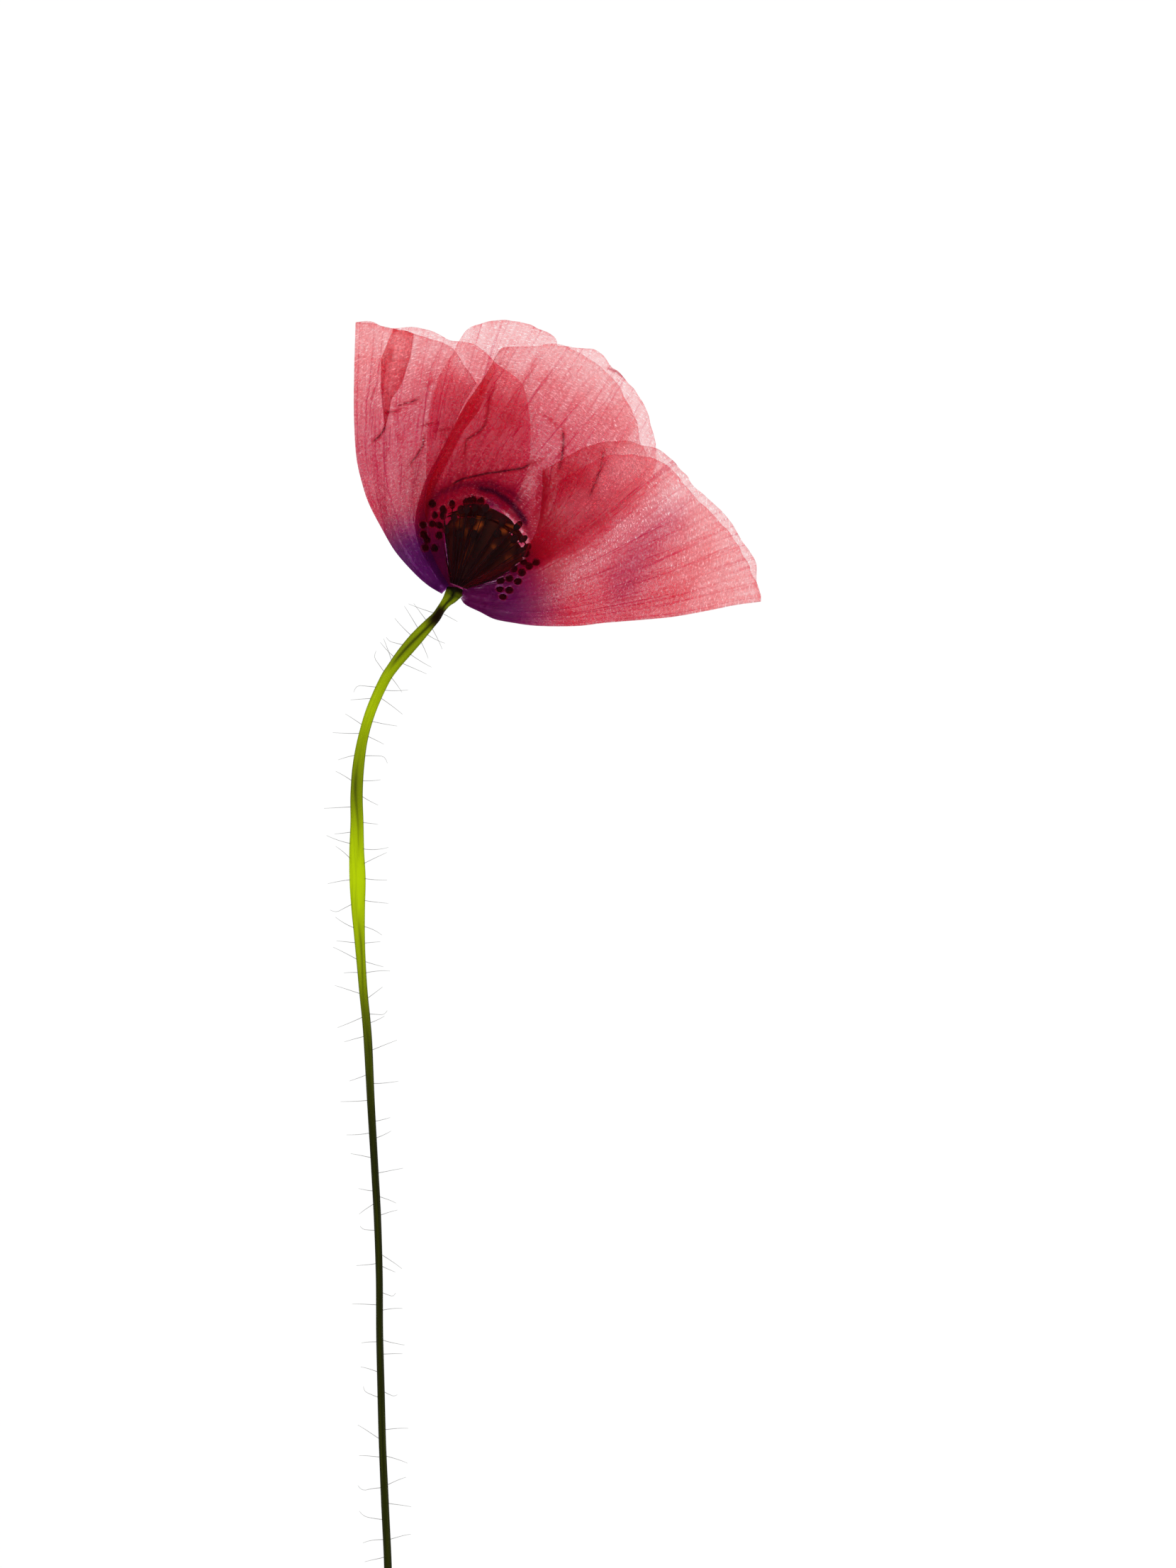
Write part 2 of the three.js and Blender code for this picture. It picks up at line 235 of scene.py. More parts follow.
def near_line(flat: Array, line: Array, width: float) -> Array:
    """Says how near places are to a line that thins out towards its ends.

    Args:
        flat: the places.
        line: points of the line, one per row.
        width: distance at which the result has sunk to a third.

    Returns:
        1 on the line, down to 0 away from it and at its ends.
    """
    x, y = flat[..., 0], flat[..., 1]
    run = run_of(line)
    best = np.full(x.shape, np.inf)
    share = np.zeros(x.shape)
    for i in range(len(line) - 1):
        ax, ay = line[i]
        dx, dy = line[i + 1] - line[i]
        t = np.clip(((x - ax) * dx + (y - ay) * dy) / (dx * dx + dy * dy), 0, 1)
        gap = np.hypot(x - ax - t * dx, y - ay - t * dy)
        closer = gap < best
        best = np.where(closer, gap, best)
        share = np.where(closer, (run[i] + t * (run[i + 1] - run[i])) / run[-1], share)
    ends, steepness, slimmest = 0.03, 1.6, 0.35
    taper = np.clip(np.sin(np.pi * (ends + (1 - 2 * ends) * share)) * steepness, 0, 1)
    return np.exp(-((best / (width * (slimmest + (1 - slimmest) * taper))) ** 2)) * taper


def crumple(x: Array, y: Array, seed: int, wavelength: float) -> Array:
    """Makes an even, repeatable crumple.

    Args:
        x: first coordinate, in millimetres.
        y: second coordinate, in millimetres.
        seed: picks the crumple.
        wavelength: length of its middling waves, in millimetres.

    Returns:
        Heights from about -1 to 1.
    """
    rng = np.random.default_rng(seed)
    total = np.zeros(np.shape(x))
    waves = 14
    for _ in range(waves):
        turn, phase = rng.uniform(0, 2 * math.pi, 2)
        rate = 2 * math.pi / (wavelength * rng.uniform(0.6, 1.7))
        bend = 0.8 * np.sin(x * rate * 0.23 + y * rate * 0.31 + phase)
        total += np.sin((x * math.cos(turn) + y * math.sin(turn)) * rate + phase + bend)
    return total / math.sqrt(waves * 2)


def make_piece(
    name: str, vertices: Array, faces: Faces, material: Finish,
    uv: Array | None = None, marks: dict[str, Array] | None = None,
) -> Piece:  # fmt: skip
    """Makes a smooth mesh object in the scene.

    Args:
        name: name of the object.
        vertices: places in metres, one per row.
        faces: vertex numbers of each face.
        material: its material.
        uv: a surface coordinate for each vertex.
        marks: a number for each vertex, by attribute name.

    Returns:
        The object.
    """
    mesh = bpy.data.meshes.new(name)
    mesh.from_pydata(vertices.tolist(), [], faces)
    mesh.polygons.foreach_set("use_smooth", [True] * len(mesh.polygons))
    corners = np.empty(len(mesh.loops), dtype=np.int32)
    mesh.loops.foreach_get("vertex_index", corners)
    if uv is not None:
        layer = mesh.uv_layers.new(name="surface")
        layer.data.foreach_set("uv", uv[corners].ravel())
    for mark, values in (marks or {}).items():
        mesh.attributes.new(mark, "FLOAT", "POINT").data.foreach_set("value", values.ravel())
    mesh.materials.append(material)
    mesh.update()
    piece = bpy.data.objects.new(name, mesh)
    bpy.context.scene.collection.objects.link(piece)
    return piece


def settle(piece: Piece, slot: Slot, *nodes: str) -> None:
    """Puts a piece on the flower in place of its plain solids.

    Args:
        piece: the finished piece.
        slot: a slot of the record; it is not used.
        *nodes: the solids that it stands for, if any.
    """
    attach(piece, "root")
    if nodes:
        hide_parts(*nodes)
    LOG.info("%s: %d vertices, for %s", piece.name, len(piece.data.vertices), nodes or "itself")


def grid_faces(rows: int, columns: int, closed: bool = False) -> Faces:
    """Lists the quads of a grid of vertices, stored row by row.

    Args:
        rows: number of rows.
        columns: number of vertices in a row.
        closed: joins each row's last vertex to its first.

    Returns:
        Four vertex numbers for each quad.
    """
    across = columns if closed else columns - 1
    i, j = np.meshgrid(np.arange(rows - 1), np.arange(across), indexing="ij")
    a, b = i * columns + j, i * columns + (j + 1) % columns
    quads = np.stack([a, b, b + columns, a + columns], -1).reshape(-1, 4)
    return [tuple(q) for q in quads.tolist()]


def swept(path: Array, section: Array, bow: Array | None = None) -> Array:
    """Carries a section along a path, with its width kept level.

    Args:
        path: places along the middle, in millimetres, one per row.
        section: for each place, points of the section as width and height offsets.
        bow: for each place, how fast the ring falls back to either side, per millimetre.

    Returns:
        Rings of places, as an array of ring, point and coordinate.
    """
    ahead = unit(np.gradient(path, axis=0))
    flat = unit(np.stack([ahead[:, 1], -ahead[:, 0], np.zeros(len(path))], -1))
    up = np.cross(flat, ahead)
    rings = path[:, None] + section[..., :1] * flat[:, None] + section[..., 1:] * up[:, None]
    if bow is not None:
        rings = rings - (bow[:, None] * section[..., 0] ** 2)[..., None] * ahead[:, None]
    return rings


def capped_tube(rings: Array) -> tuple[Array, Faces]:
    """Closes rings into a solid with domed ends.

    Args:
        rings: array of ring, point and coordinate.

    Returns:
        Vertices and faces of the closed solid.
    """
    count, sides = rings.shape[:2]
    faces = grid_faces(count, sides, closed=True)
    ends = np.array([rings[0].mean(0), rings[-1].mean(0)])
    first, last = count * sides, count * sides + 1
    top = (count - 1) * sides
    for j in range(sides):
        k = (j + 1) % sides
        faces.append((first, k, j))
        faces.append((last, top + j, top + k))
    return np.vstack([rings.reshape(-1, 3), ends]), faces


def joined(solids: list[tuple[Array, Faces]]) -> tuple[Array, Faces]:
    """Joins solids into one.

    Args:
        solids: vertices and faces of each.

    Returns:
        Vertices and faces of them all.
    """
    starts = np.cumsum([0] + [len(vertices) for vertices, _ in solids]).tolist()
    faces = [tuple(n + k for n in face) for k, (_, each) in zip(starts, solids) for face in each]
    return np.vstack([vertices for vertices, _ in solids]), faces


def ring_angles(sides: int) -> Array:
    """Gives even angles round a section."""
    return np.linspace(0, 2 * math.pi, sides, endpoint=False)


# ---------------------------------------------------------------- finishes


@dataclass(frozen=True)
class DriedPetal:
    """Dried poppy petal: one cell-thin papery skin, see-through and veined, with a satin face."""

    name: str = "dried_poppy_petal"
    scarlet: str = "F62D46"
    violet: str = "A028A4"
    crimson: str = "DC1250"
    wine: str = "6E0420"
    streak_width: float = 0.55
    streak_length: float = 12.0
    vein_spacing: float = 1.0
    vein_length: float = 45.0
    cell_width: float = 0.16  # rows of cells, drawn coarser than real cells so that they show
    cell_length: float = 0.5
    grain: float = 0.34
    cloud: float = 2.6
    streak_depth: float = 0.18
    grain_depth: float = 0.24
    cloud_depth: float = 0.14
    vein_line: float = 0.024  # how far from its mean the wave still draws a vein
    vein_depth: float = 0.8
    vein_dusk: float = 0.18  # how much violet a vein holds
    core: float = 0.72  # stain and painted crease shade above this turn nearly black red, as in the core of a crease
    satin: float = 0.1  # share of light that its face turns back instead of letting through

    def material(self) -> Finish:
        """Builds the tissue: red light comes through it, and more layers make it deeper.

        Returns:
            The node material. It reads the marks cover, stain_and_shade, violet and sparkle.
        """
        material, tree, output = new_material(self.name)
        found = {
            mark: add_node(tree, "ShaderNodeAttribute", attribute_name=mark).outputs["Fac"]
            for mark in ("cover", "stain_and_shade", "violet", "sparkle")
        }
        surface = add_node(tree, "ShaderNodeUVMap", uv_map="surface").outputs["UV"]
        place = add_node(tree, "ShaderNodeTexCoord").outputs["Object"]
        # Patterns drawn out on the sheet, by their size across and along the fan, and even ones.
        across_along = {
            "streaks": (self.streak_width, self.streak_length, 0.6),
            "veins": (self.vein_spacing, self.vein_length, 0.4),
            "cells": (self.cell_length, self.cell_width, 0.5),
        }
        for wave, (across, along, rough) in across_along.items():
            stretch = (1 / across, 1 / along, 1.0)
            spread = add_node(tree, "ShaderNodeMapping", {"Vector": surface, "Scale": stretch})
            wanted = {"Vector": spread.outputs[0], "Scale": 1.0, "Detail": 2.0, "Roughness": rough}
            found[wave] = add_node(tree, "ShaderNodeTexNoise", wanted).outputs["Fac"]
        for wave, (size, detail, rough) in {
            "grain": (self.grain, 1.0, 0.7),
            "cloud": (self.cloud, 3.0, 0.55),
        }.items():
            scale = 1 / (size * MM)
            wanted = {"Vector": place, "Scale": scale, "Detail": detail, "Roughness": rough}
            found[wave] = add_node(tree, "ShaderNodeTexNoise", wanted).outputs["Fac"]
        # Fine dark veins come and go along the fan, where their wave crosses its mean.
        off = add_node(tree, "ShaderNodeMath", {0: found["veins"], 1: -0.5}, operation="ADD").outputs[0]
        found["off"] = add_node(tree, "ShaderNodeMath", {0: off}, operation="ABSOLUTE").outputs[0]
        # Each change reads one range of a pattern and turns it to another.
        changes = {
            "streaky": ("streaks", 0.3, 0.7, 1 - self.streak_depth, 1 + self.streak_depth),
            "grainy": ("grain", 0.3, 0.7, 1 - self.grain_depth, 1 + self.grain_depth),
            "cloudy": ("cloud", 0.3, 0.7, 1 - self.cloud_depth, 1 + self.cloud_depth),
            "line": ("off", 0.0, self.vein_line, 1.0, 0.0),
            "broken": ("streaks", 0.4, 0.58, 0.0, 1.0),
            "speck": ("cells", 0.56, 0.68, 0.0, -1.0),
            "core": ("stain_and_shade", self.core, 1.0, 0.0, 1.0),
        }
        for change, (wave, low, high, start, end) in changes.items():
            ends = {"From Min": low, "From Max": high, "To Min": start, "To Max": end}
            wanted = {"Value": found[wave], **ends}
            found[change] = add_node(tree, "ShaderNodeMapRange", wanted).outputs["Result"]
        # Tiny raised cells catch the light as pale specks, and veins are thicker than the sheet. It
        # has an upper and a lower face, and each stops its half of the light.
        sums = {
            "vein": ("MULTIPLY", "line", "broken"),
            "pale": ("MULTIPLY_ADD", "speck", "sparkle", 1.0),
            "deep": ("MULTIPLY_ADD", "vein", self.vein_depth, 1.0),
            "uneven": ("MULTIPLY", "streaky", "grainy"),
            "drifting": ("MULTIPLY", "uneven", "cloudy"),
            "sparkling": ("MULTIPLY", "drifting", "pale"),
            "weight": ("MULTIPLY", "sparkling", "deep"),
            "each": ("MULTIPLY", "weight", 0.5),
            "passed": ("SUBTRACT", 1.0, "cover"),
            "half": ("POWER", "passed", "each"),
            "purple": ("MULTIPLY_ADD", "vein", self.vein_dusk, "violet"),
        }
        for result, (operation, *terms) in sums.items():
            wanted = {k: found.get(term, term) for k, term in enumerate(terms)}
            node = add_node(tree, "ShaderNodeMath", wanted, operation=operation)
            node.use_clamp = result == "purple"
            found[result] = node.outputs[0]
        # Stains and painted crease shade turn the scarlet to crimson, and the core of a crease is nearly
        # black red.
        colour = linear(self.scarlet)
        for share, code in (("stain_and_shade", self.crimson), ("core", self.wine), ("purple", self.violet)):
            wanted = {0: found[share], 6: colour, 7: linear(code)}
            colour = add_node(tree, "ShaderNodeMix", wanted, data_type="RGBA").outputs[2]
        through = add_node(tree, "ShaderNodeBsdfTranslucent", {"Color": colour}).outputs[0]
        skin = {"Base Color": colour, "Roughness": 0.5, "IOR": 1.45}
        face = add_node(tree, "ShaderNodeBsdfPrincipled", skin).outputs[0]
        body = add_node(tree, "ShaderNodeMixShader", {0: self.satin, 1: through, 2: face}).outputs[0]
        clear = add_node(tree, "ShaderNodeBsdfTransparent", {"Color": WHITE}).outputs[0]
        mixed = add_node(tree, "ShaderNodeMixShader", {0: found["half"], 1: body, 2: clear}).outputs[0]
        tree.links.new(mixed, output.inputs["Surface"])
        return material


@dataclass(frozen=True)
class DriedStalk:
    """Dried green stalk: a collapsed juicy tube, bright where it is thin and olive where it is full."""

    name: str = "dried_green_stalk"
    bright: str = "E2F130"
    olive: str = "5C6032"
    brown: str = "46301F"
    fibre_width: float = 0.22
    fibre_length: float = 14.0
    gloss: float = 0.15  # share of light that its skin turns back instead of letting through

    def material(self) -> Finish:
        """Builds the skin: light comes through its thin stretches, and fibres run along it.

        Returns:
            The node material. It reads the marks dusk and bruise.
        """
        material, tree, output = new_material(self.name)
        dusk = add_node(tree, "ShaderNodeAttribute", attribute_name="dusk").outputs["Fac"]
        bruise = add_node(tree, "ShaderNodeAttribute", attribute_name="bruise").outputs["Fac"]
        surface = add_node(tree, "ShaderNodeUVMap", uv_map="surface").outputs["UV"]
        stretch = (1 / self.fibre_width, 1 / self.fibre_length, 1.0)
        along = add_node(tree, "ShaderNodeMapping", {"Vector": surface, "Scale": stretch}).outputs[0]
        wanted = {"Vector": along, "Scale": 1.0, "Detail": 3.0, "Roughness": 0.6}
        fibres = add_node(tree, "ShaderNodeTexNoise", wanted).outputs["Fac"]
        wanted = {"Value": fibres, "From Min": 0.3, "From Max": 0.75, "To Min": -0.12, "To Max": 0.2}
        shade = add_node(tree, "ShaderNodeMapRange", wanted).outputs["Result"]
        depth = add_node(tree, "ShaderNodeMath", {0: dusk, 1: shade}, operation="ADD", use_clamp=True)
        colour = linear(self.bright)
        for share, code in ((depth.outputs[0], self.olive), (bruise, self.brown)):
            wanted = {0: share, 6: colour, 7: linear(code)}
            colour = add_node(tree, "ShaderNodeMix", wanted, data_type="RGBA").outputs[2]
        through = add_node(tree, "ShaderNodeBsdfTranslucent", {"Color": colour}).outputs[0]
        skin = {"Base Color": colour, "Roughness": 0.42, "IOR": 1.45}
        face = add_node(tree, "ShaderNodeBsdfPrincipled", skin).outputs[0]
        body = add_node(tree, "ShaderNodeMixShader", {0: self.gloss, 1: through, 2: face}).outputs[0]
        tree.links.new(body, output.inputs["Surface"])
        return material


@dataclass(frozen=True)
class DriedPod:
    """Dried unripe seed pod: a leathery dark wall with an amber glow where it is thin."""

    name: str = "dried_pod_wall"
    dark: str = "160A05"
    rust: str = "4E2210"
    amber: str = "FF7A22"
    blotch: float = 1.3
    fibre: float = 0.28

    def material(self) -> Finish:
        """Builds the wall: nearly black, rusty between its ribs, with a few lit patches.

        Returns:
            The node material. It reads the marks rib and glow.
        """
        material, tree, output = new_material(self.name)
        rib = add_node(tree, "ShaderNodeAttribute", attribute_name="rib").outputs["Fac"]
        glow = add_node(tree, "ShaderNodeAttribute", attribute_name="glow").outputs["Fac"]
        place = add_node(tree, "ShaderNodeTexCoord").outputs["Object"]
        wanted = {"Vector": place, "Scale": 1 / (self.blotch * MM), "Detail": 4.0, "Roughness": 0.65}
        blotches = add_node(tree, "ShaderNodeTexNoise", wanted).outputs["Fac"]
        wanted = {"Vector": place, "Scale": 1 / (self.fibre * MM), "Detail": 2.0}
        fibres = add_node(tree, "ShaderNodeTexNoise", wanted).outputs["Fac"]
        wanted = {"Value": blotches, "From Min": 0.36, "From Max": 0.6, "To Min": 0.25, "To Max": 1.0}
        uneven = add_node(tree, "ShaderNodeMapRange", wanted).outputs["Result"]
        lit = add_node(tree, "ShaderNodeMath", {0: uneven, 1: glow}, operation="MULTIPLY", use_clamp=True)
        colour = linear(self.dark)
        for share, code in ((rib, self.rust), (lit.outputs[0], self.amber)):
            wanted = {0: share, 6: colour, 7: linear(code)}
            colour = add_node(tree, "ShaderNodeMix", wanted, data_type="RGBA").outputs[2]
        wanted = {"Strength": 0.5, "Distance": 0.05 * MM, "Height": fibres}
        bump = add_node(tree, "ShaderNodeBump", wanted).outputs[0]
        wall = {"Base Color": colour, "Roughness": 0.75, "IOR": 1.4, "Normal": bump}
        body = add_node(tree, "ShaderNodeBsdfPrincipled", wall).outputs[0]
        tree.links.new(body, output.inputs["Surface"])
        return material


@dataclass(frozen=True)
class DarkTissue:
    """Small dark parts: anthers and filaments, dull because pollen and hairs cover them."""

    name: str
    dark: str
    light: str
    grain: float
    roughness: float = 0.85

    def material(self) -> Finish:
        """Builds the tissue: a mealy mix of its two shades with a fine bump.

        Returns:
            The node material.
        """
        material, tree, output = new_material(self.name)
        place = add_node(tree, "ShaderNodeTexCoord").outputs["Object"]
        wanted = {"Vector": place, "Scale": 1 / (self.grain * MM), "Detail": 2.0, "Roughness": 0.6}
        grain = add_node(tree, "ShaderNodeTexNoise", wanted).outputs["Fac"]
        wanted = {"Value": grain, "From Min": 0.35, "From Max": 0.7}
        share = add_node(tree, "ShaderNodeMapRange", wanted).outputs["Result"]
        wanted = {0: share, 6: linear(self.dark), 7: linear(self.light)}
        colour = add_node(tree, "ShaderNodeMix", wanted, data_type="RGBA").outputs[2]
        wanted = {"Strength": 0.6, "Distance": 0.04 * MM, "Height": grain}
        bump = add_node(tree, "ShaderNodeBump", wanted).outputs[0]
        meal = {"Base Color": colour, "Roughness": self.roughness, "IOR": 1.45, "Normal": bump}
        face = add_node(tree, "ShaderNodeBsdfPrincipled", meal).outputs[0]
        tree.links.new(face, output.inputs["Surface"])
        return material


@dataclass(frozen=True)
class StalkHair:
    """Stiff dry bristles: each is a pale thread, half clear, so it reads as light grey."""

    name: str = "stalk_bristle"
    grey: str = "6E6A60"

    def material(self) -> Finish:
        """Builds the bristle: a pale thread that lets about half of the light by.

        Returns:
            The node material.
        """
        material, tree, output = new_material(self.name)
        thread = {"Base Color": linear(self.grey), "Roughness": 0.5, "IOR": 1.5}
        face = add_node(tree, "ShaderNodeBsdfPrincipled", thread).outputs[0]
        clear = add_node(tree, "ShaderNodeBsdfTransparent", {"Color": WHITE}).outputs[0]
        body = add_node(tree, "ShaderNodeMixShader", {0: 0.5, 1: clear, 2: face}).outputs[0]
        tree.links.new(body, output.inputs["Surface"])
        return material


# ---------------------------------------------------------------- how the bloom is pressed


@dataclass(frozen=True)
class Press:
    """Heights of the pressed layers. They match the plain solids' own."""

    sheet: float = 0.12
    pitch: float = 0.28  # from one layer to the next
    fold_gap: float = 0.3  # between a folded petal's two leaves
    puff: float = 0.07  # how much further apart the layers lie where they puff up
    puffed: tuple[float, float] = (9.0, 30.0)  # distance from the heart where that starts and ends
    first_upper_layer: int = 3
    settle: tuple[float, float] = (11.0, 17.0)  # the lowest sheet ends here, and the others sink
    floor: float = 0.76  # underside of the contents
    neck: float = 1.4  # thickness of the contents at the stalk
    body: float = 3.2  # thickness of the contents at the pod
    widens: tuple[float, float] = (1.0, 5.0)  # where the one turns to the other
    middle: tuple[float, float] = (3.4, 6.2)
    reach: tuple[float, float] = (8.0, 7.2)  # of the contents across and along
    fade: float = 2.2  # how many times their reach the sheets close behind them
    stain_ends: tuple[float, float] = (1.25, 0.9)  # shares of their reach

    def _far(self, flat: Array) -> Array:
        """Gives the distance from the middle of the contents as a share of their reach."""
        return np.linalg.norm((flat - self.middle) / self.reach, axis=-1)

    def stained(self, flat: Array) -> Array:
        """Says where pollen stains the petals that lie behind the pod and stamens."""
        return smooth(*self.stain_ends, self._far(flat))

    def contents(self, flat: Array) -> Array:
        """Gives the thickness of pod and stamens between the petals."""
        most = self.neck + (self.body - self.neck) * smooth(*self.widens, reach_of(flat))
        return most * (1 - smooth(1, self.fade, self._far(flat)))

    def halfway(self, flat: Array) -> Array:
        """Gives the height halfway up the contents."""
        return self.floor + self.contents(flat) / 2

    def layer(self, layer: int, flat: Array) -> Array:
        """Gives the height of a layer's middle.

        Args:
            layer: number of the layer from the table up.
            flat: places on it.

        Returns:
            The height at each place.
        """
        x, y = flat[..., 0], flat[..., 1]
        settled = smooth(*self.settle, x) if layer > 0 else 0.0
        over = self.contents(flat) if layer >= self.first_upper_layer else 0.0
        reach, turn = reach_of(flat), np.arctan2(y, x)
        broad, fine = np.sin(turn * 9 + 0.6), np.sin(turn * 17 + reach * 0.12)  # folds of the fan
        rise = self.pitch + self.puff * (0.5 + 0.3 * broad + 0.2 * fine) * smooth(*self.puffed, reach)
        return self.sheet / 2 + rise * (layer - settled) + over


@dataclass(frozen=True)
class Mark:
    """A crease or a band of deeper or paler colour, along a line on the drawing grid."""

    line: Points
    width: float
    strength: float

    def at(self, flat: Array) -> Array:
        """Gives the mark's strength at places."""
        return self.strength * near_line(flat, from_grid(self.line), self.width)


def strongest(marks: tuple[Mark, ...], flat: Array) -> Array:
    """Reads the strongest of some marks.

    Args:
        marks: the marks.
        flat: where to read them.

    Returns:
        The strength at each place, or 0 where there is no mark.
    """
    found = np.zeros(flat.shape[:-1])
    for mark in marks:
        found = np.maximum(found, mark.at(flat))
    return found


@dataclass(frozen=True)
class Leaf:
    """One leaf of a petal: a fan of lines from its feet to its margin, between two edges."""

    layer: int
    feet: Points
    low: Points
    high: Points
    margin: Points
    near: Points
    far: Points
    creases: tuple[Mark, ...] = ()
    tones: tuple[Mark, ...] = ()
    pleat: tuple[Points, Points] | None = None  # its left and right folds, from the top down
    violet: float = 1.0  # how deep its violet foot is
    mauve: float = 0.2  # how much violet its red holds
    fade: float = 0.0  # how much thinner its far edge is
    stains: tuple[Mark, ...] = ()
    sparkles: tuple[Mark, ...] = ()
    violet_marks: tuple[Mark, ...] = ()
    folds: tuple[float, float] = (0.38, 0.52)  # shares of its columns that lie before a pleat's folds
    fold_blur: float = 0.012  # share of its columns over which a fold turns

    def _fan(self, u: Array, s: Array) -> Array:
        """Reads the plain fan, before its edges are moved onto their outlines.

        Args:
            u: share from the near to the far edge.
            s: share from foot to margin, with one axis more than u.

        Returns:
            Places in millimetres from the heart.
        """
        rails = [spline(from_grid(rail), u) for rail in (self.feet, self.low, self.high)]
        rails.append(smooth_curve(from_grid(self.margin), u))
        weights = ((1 - s) ** 3, 3 * s * (1 - s) ** 2, 3 * s**2 * (1 - s), s**3)
        return sum(rail * weight for rail, weight in zip(rails, weights))

    def places(self, u: Array, v: Array) -> Array:
        """Reads the leaf's flat shape.

        Args:
            u: share from the near to the far edge, as an array of column and row.
            v: share from foot to margin, one per row.

        Returns:
            Places in millimetres from the heart, as an array of column, row and coordinate.
        """
        fan = self._fan(u, v[None, :, None])
        for end, outline in ((0.0, self.near), (1.0, self.far)):
            fan = fan + self._pull(end, outline, v) * (np.abs(1 - end - u) ** 3)[..., None]
        return fan

    def _pull(self, end: float, outline: Points, v: Array) -> Array:
        """Finds how far an edge of the plain fan has to move to lie on its outline.

        Args:
            end: 0 for the near edge and 1 for the far edge.
            outline: the edge's true line, from foot to margin.
            v: share from foot to margin, one per row.

        Returns:
            The move for each row.
        """
        dense = np.linspace(0, 1, 200)
        plain = self._fan(np.full(len(dense), end), dense[:, None])
        run = run_of(plain)
        share = np.interp(v, dense, run / run[-1])
        start = np.stack([np.interp(v, dense, plain[:, k]) for k in (0, 1)], -1)
        return (smooth_curve(from_grid(outline), share) - start)[None]

    def folded(self, columns: int, v: Array) -> tuple[Array, Array]:
        """Spreads the columns over the leaf, back and forth through its pleat.

        Args:
            columns: number of columns.
            v: share from foot to margin, one per row.

        Returns:
            The share u of each column and row, and how many times it has passed a fold.
        """
        w = np.linspace(0, 1, columns)[:, None] * np.ones(len(v))[None]
        if self.pleat is None:
            return w, np.zeros_like(w)
        dense = np.linspace(0, 1, 240)
        flat = self.places(dense[:, None] * np.ones(len(v))[None], v)
        turns = []
        for side in self.pleat:
            line = from_grid(side)[::-1]
            off = flat[..., 0] - np.interp(flat[..., 1], line[:, 1], line[:, 0])
            turns.append(np.array([np.interp(0, row, dense) for row in off.T]))
        left, right = turns[0], np.maximum(*turns)
        # The columns run to the right fold, back to the left one, and on to the far edge.
        knots = (0.0, *self.folds, 1.0)
        spread = [np.interp(w[:, 0], knots, (0, second, first, 1)) for first, second in zip(left, right)]
        opened = np.clip((right - left) * 60, 0, 1)  # the pleat closes where its folds meet
        passed = sum(smooth(fold - self.fold_blur, fold + self.fold_blur, w) for fold in self.folds)
        lies_flat = smooth(0.7, 0.95, w)  # again, towards the far edge
        return np.stack(spread, 1), passed * opened * (1 - lies_flat)


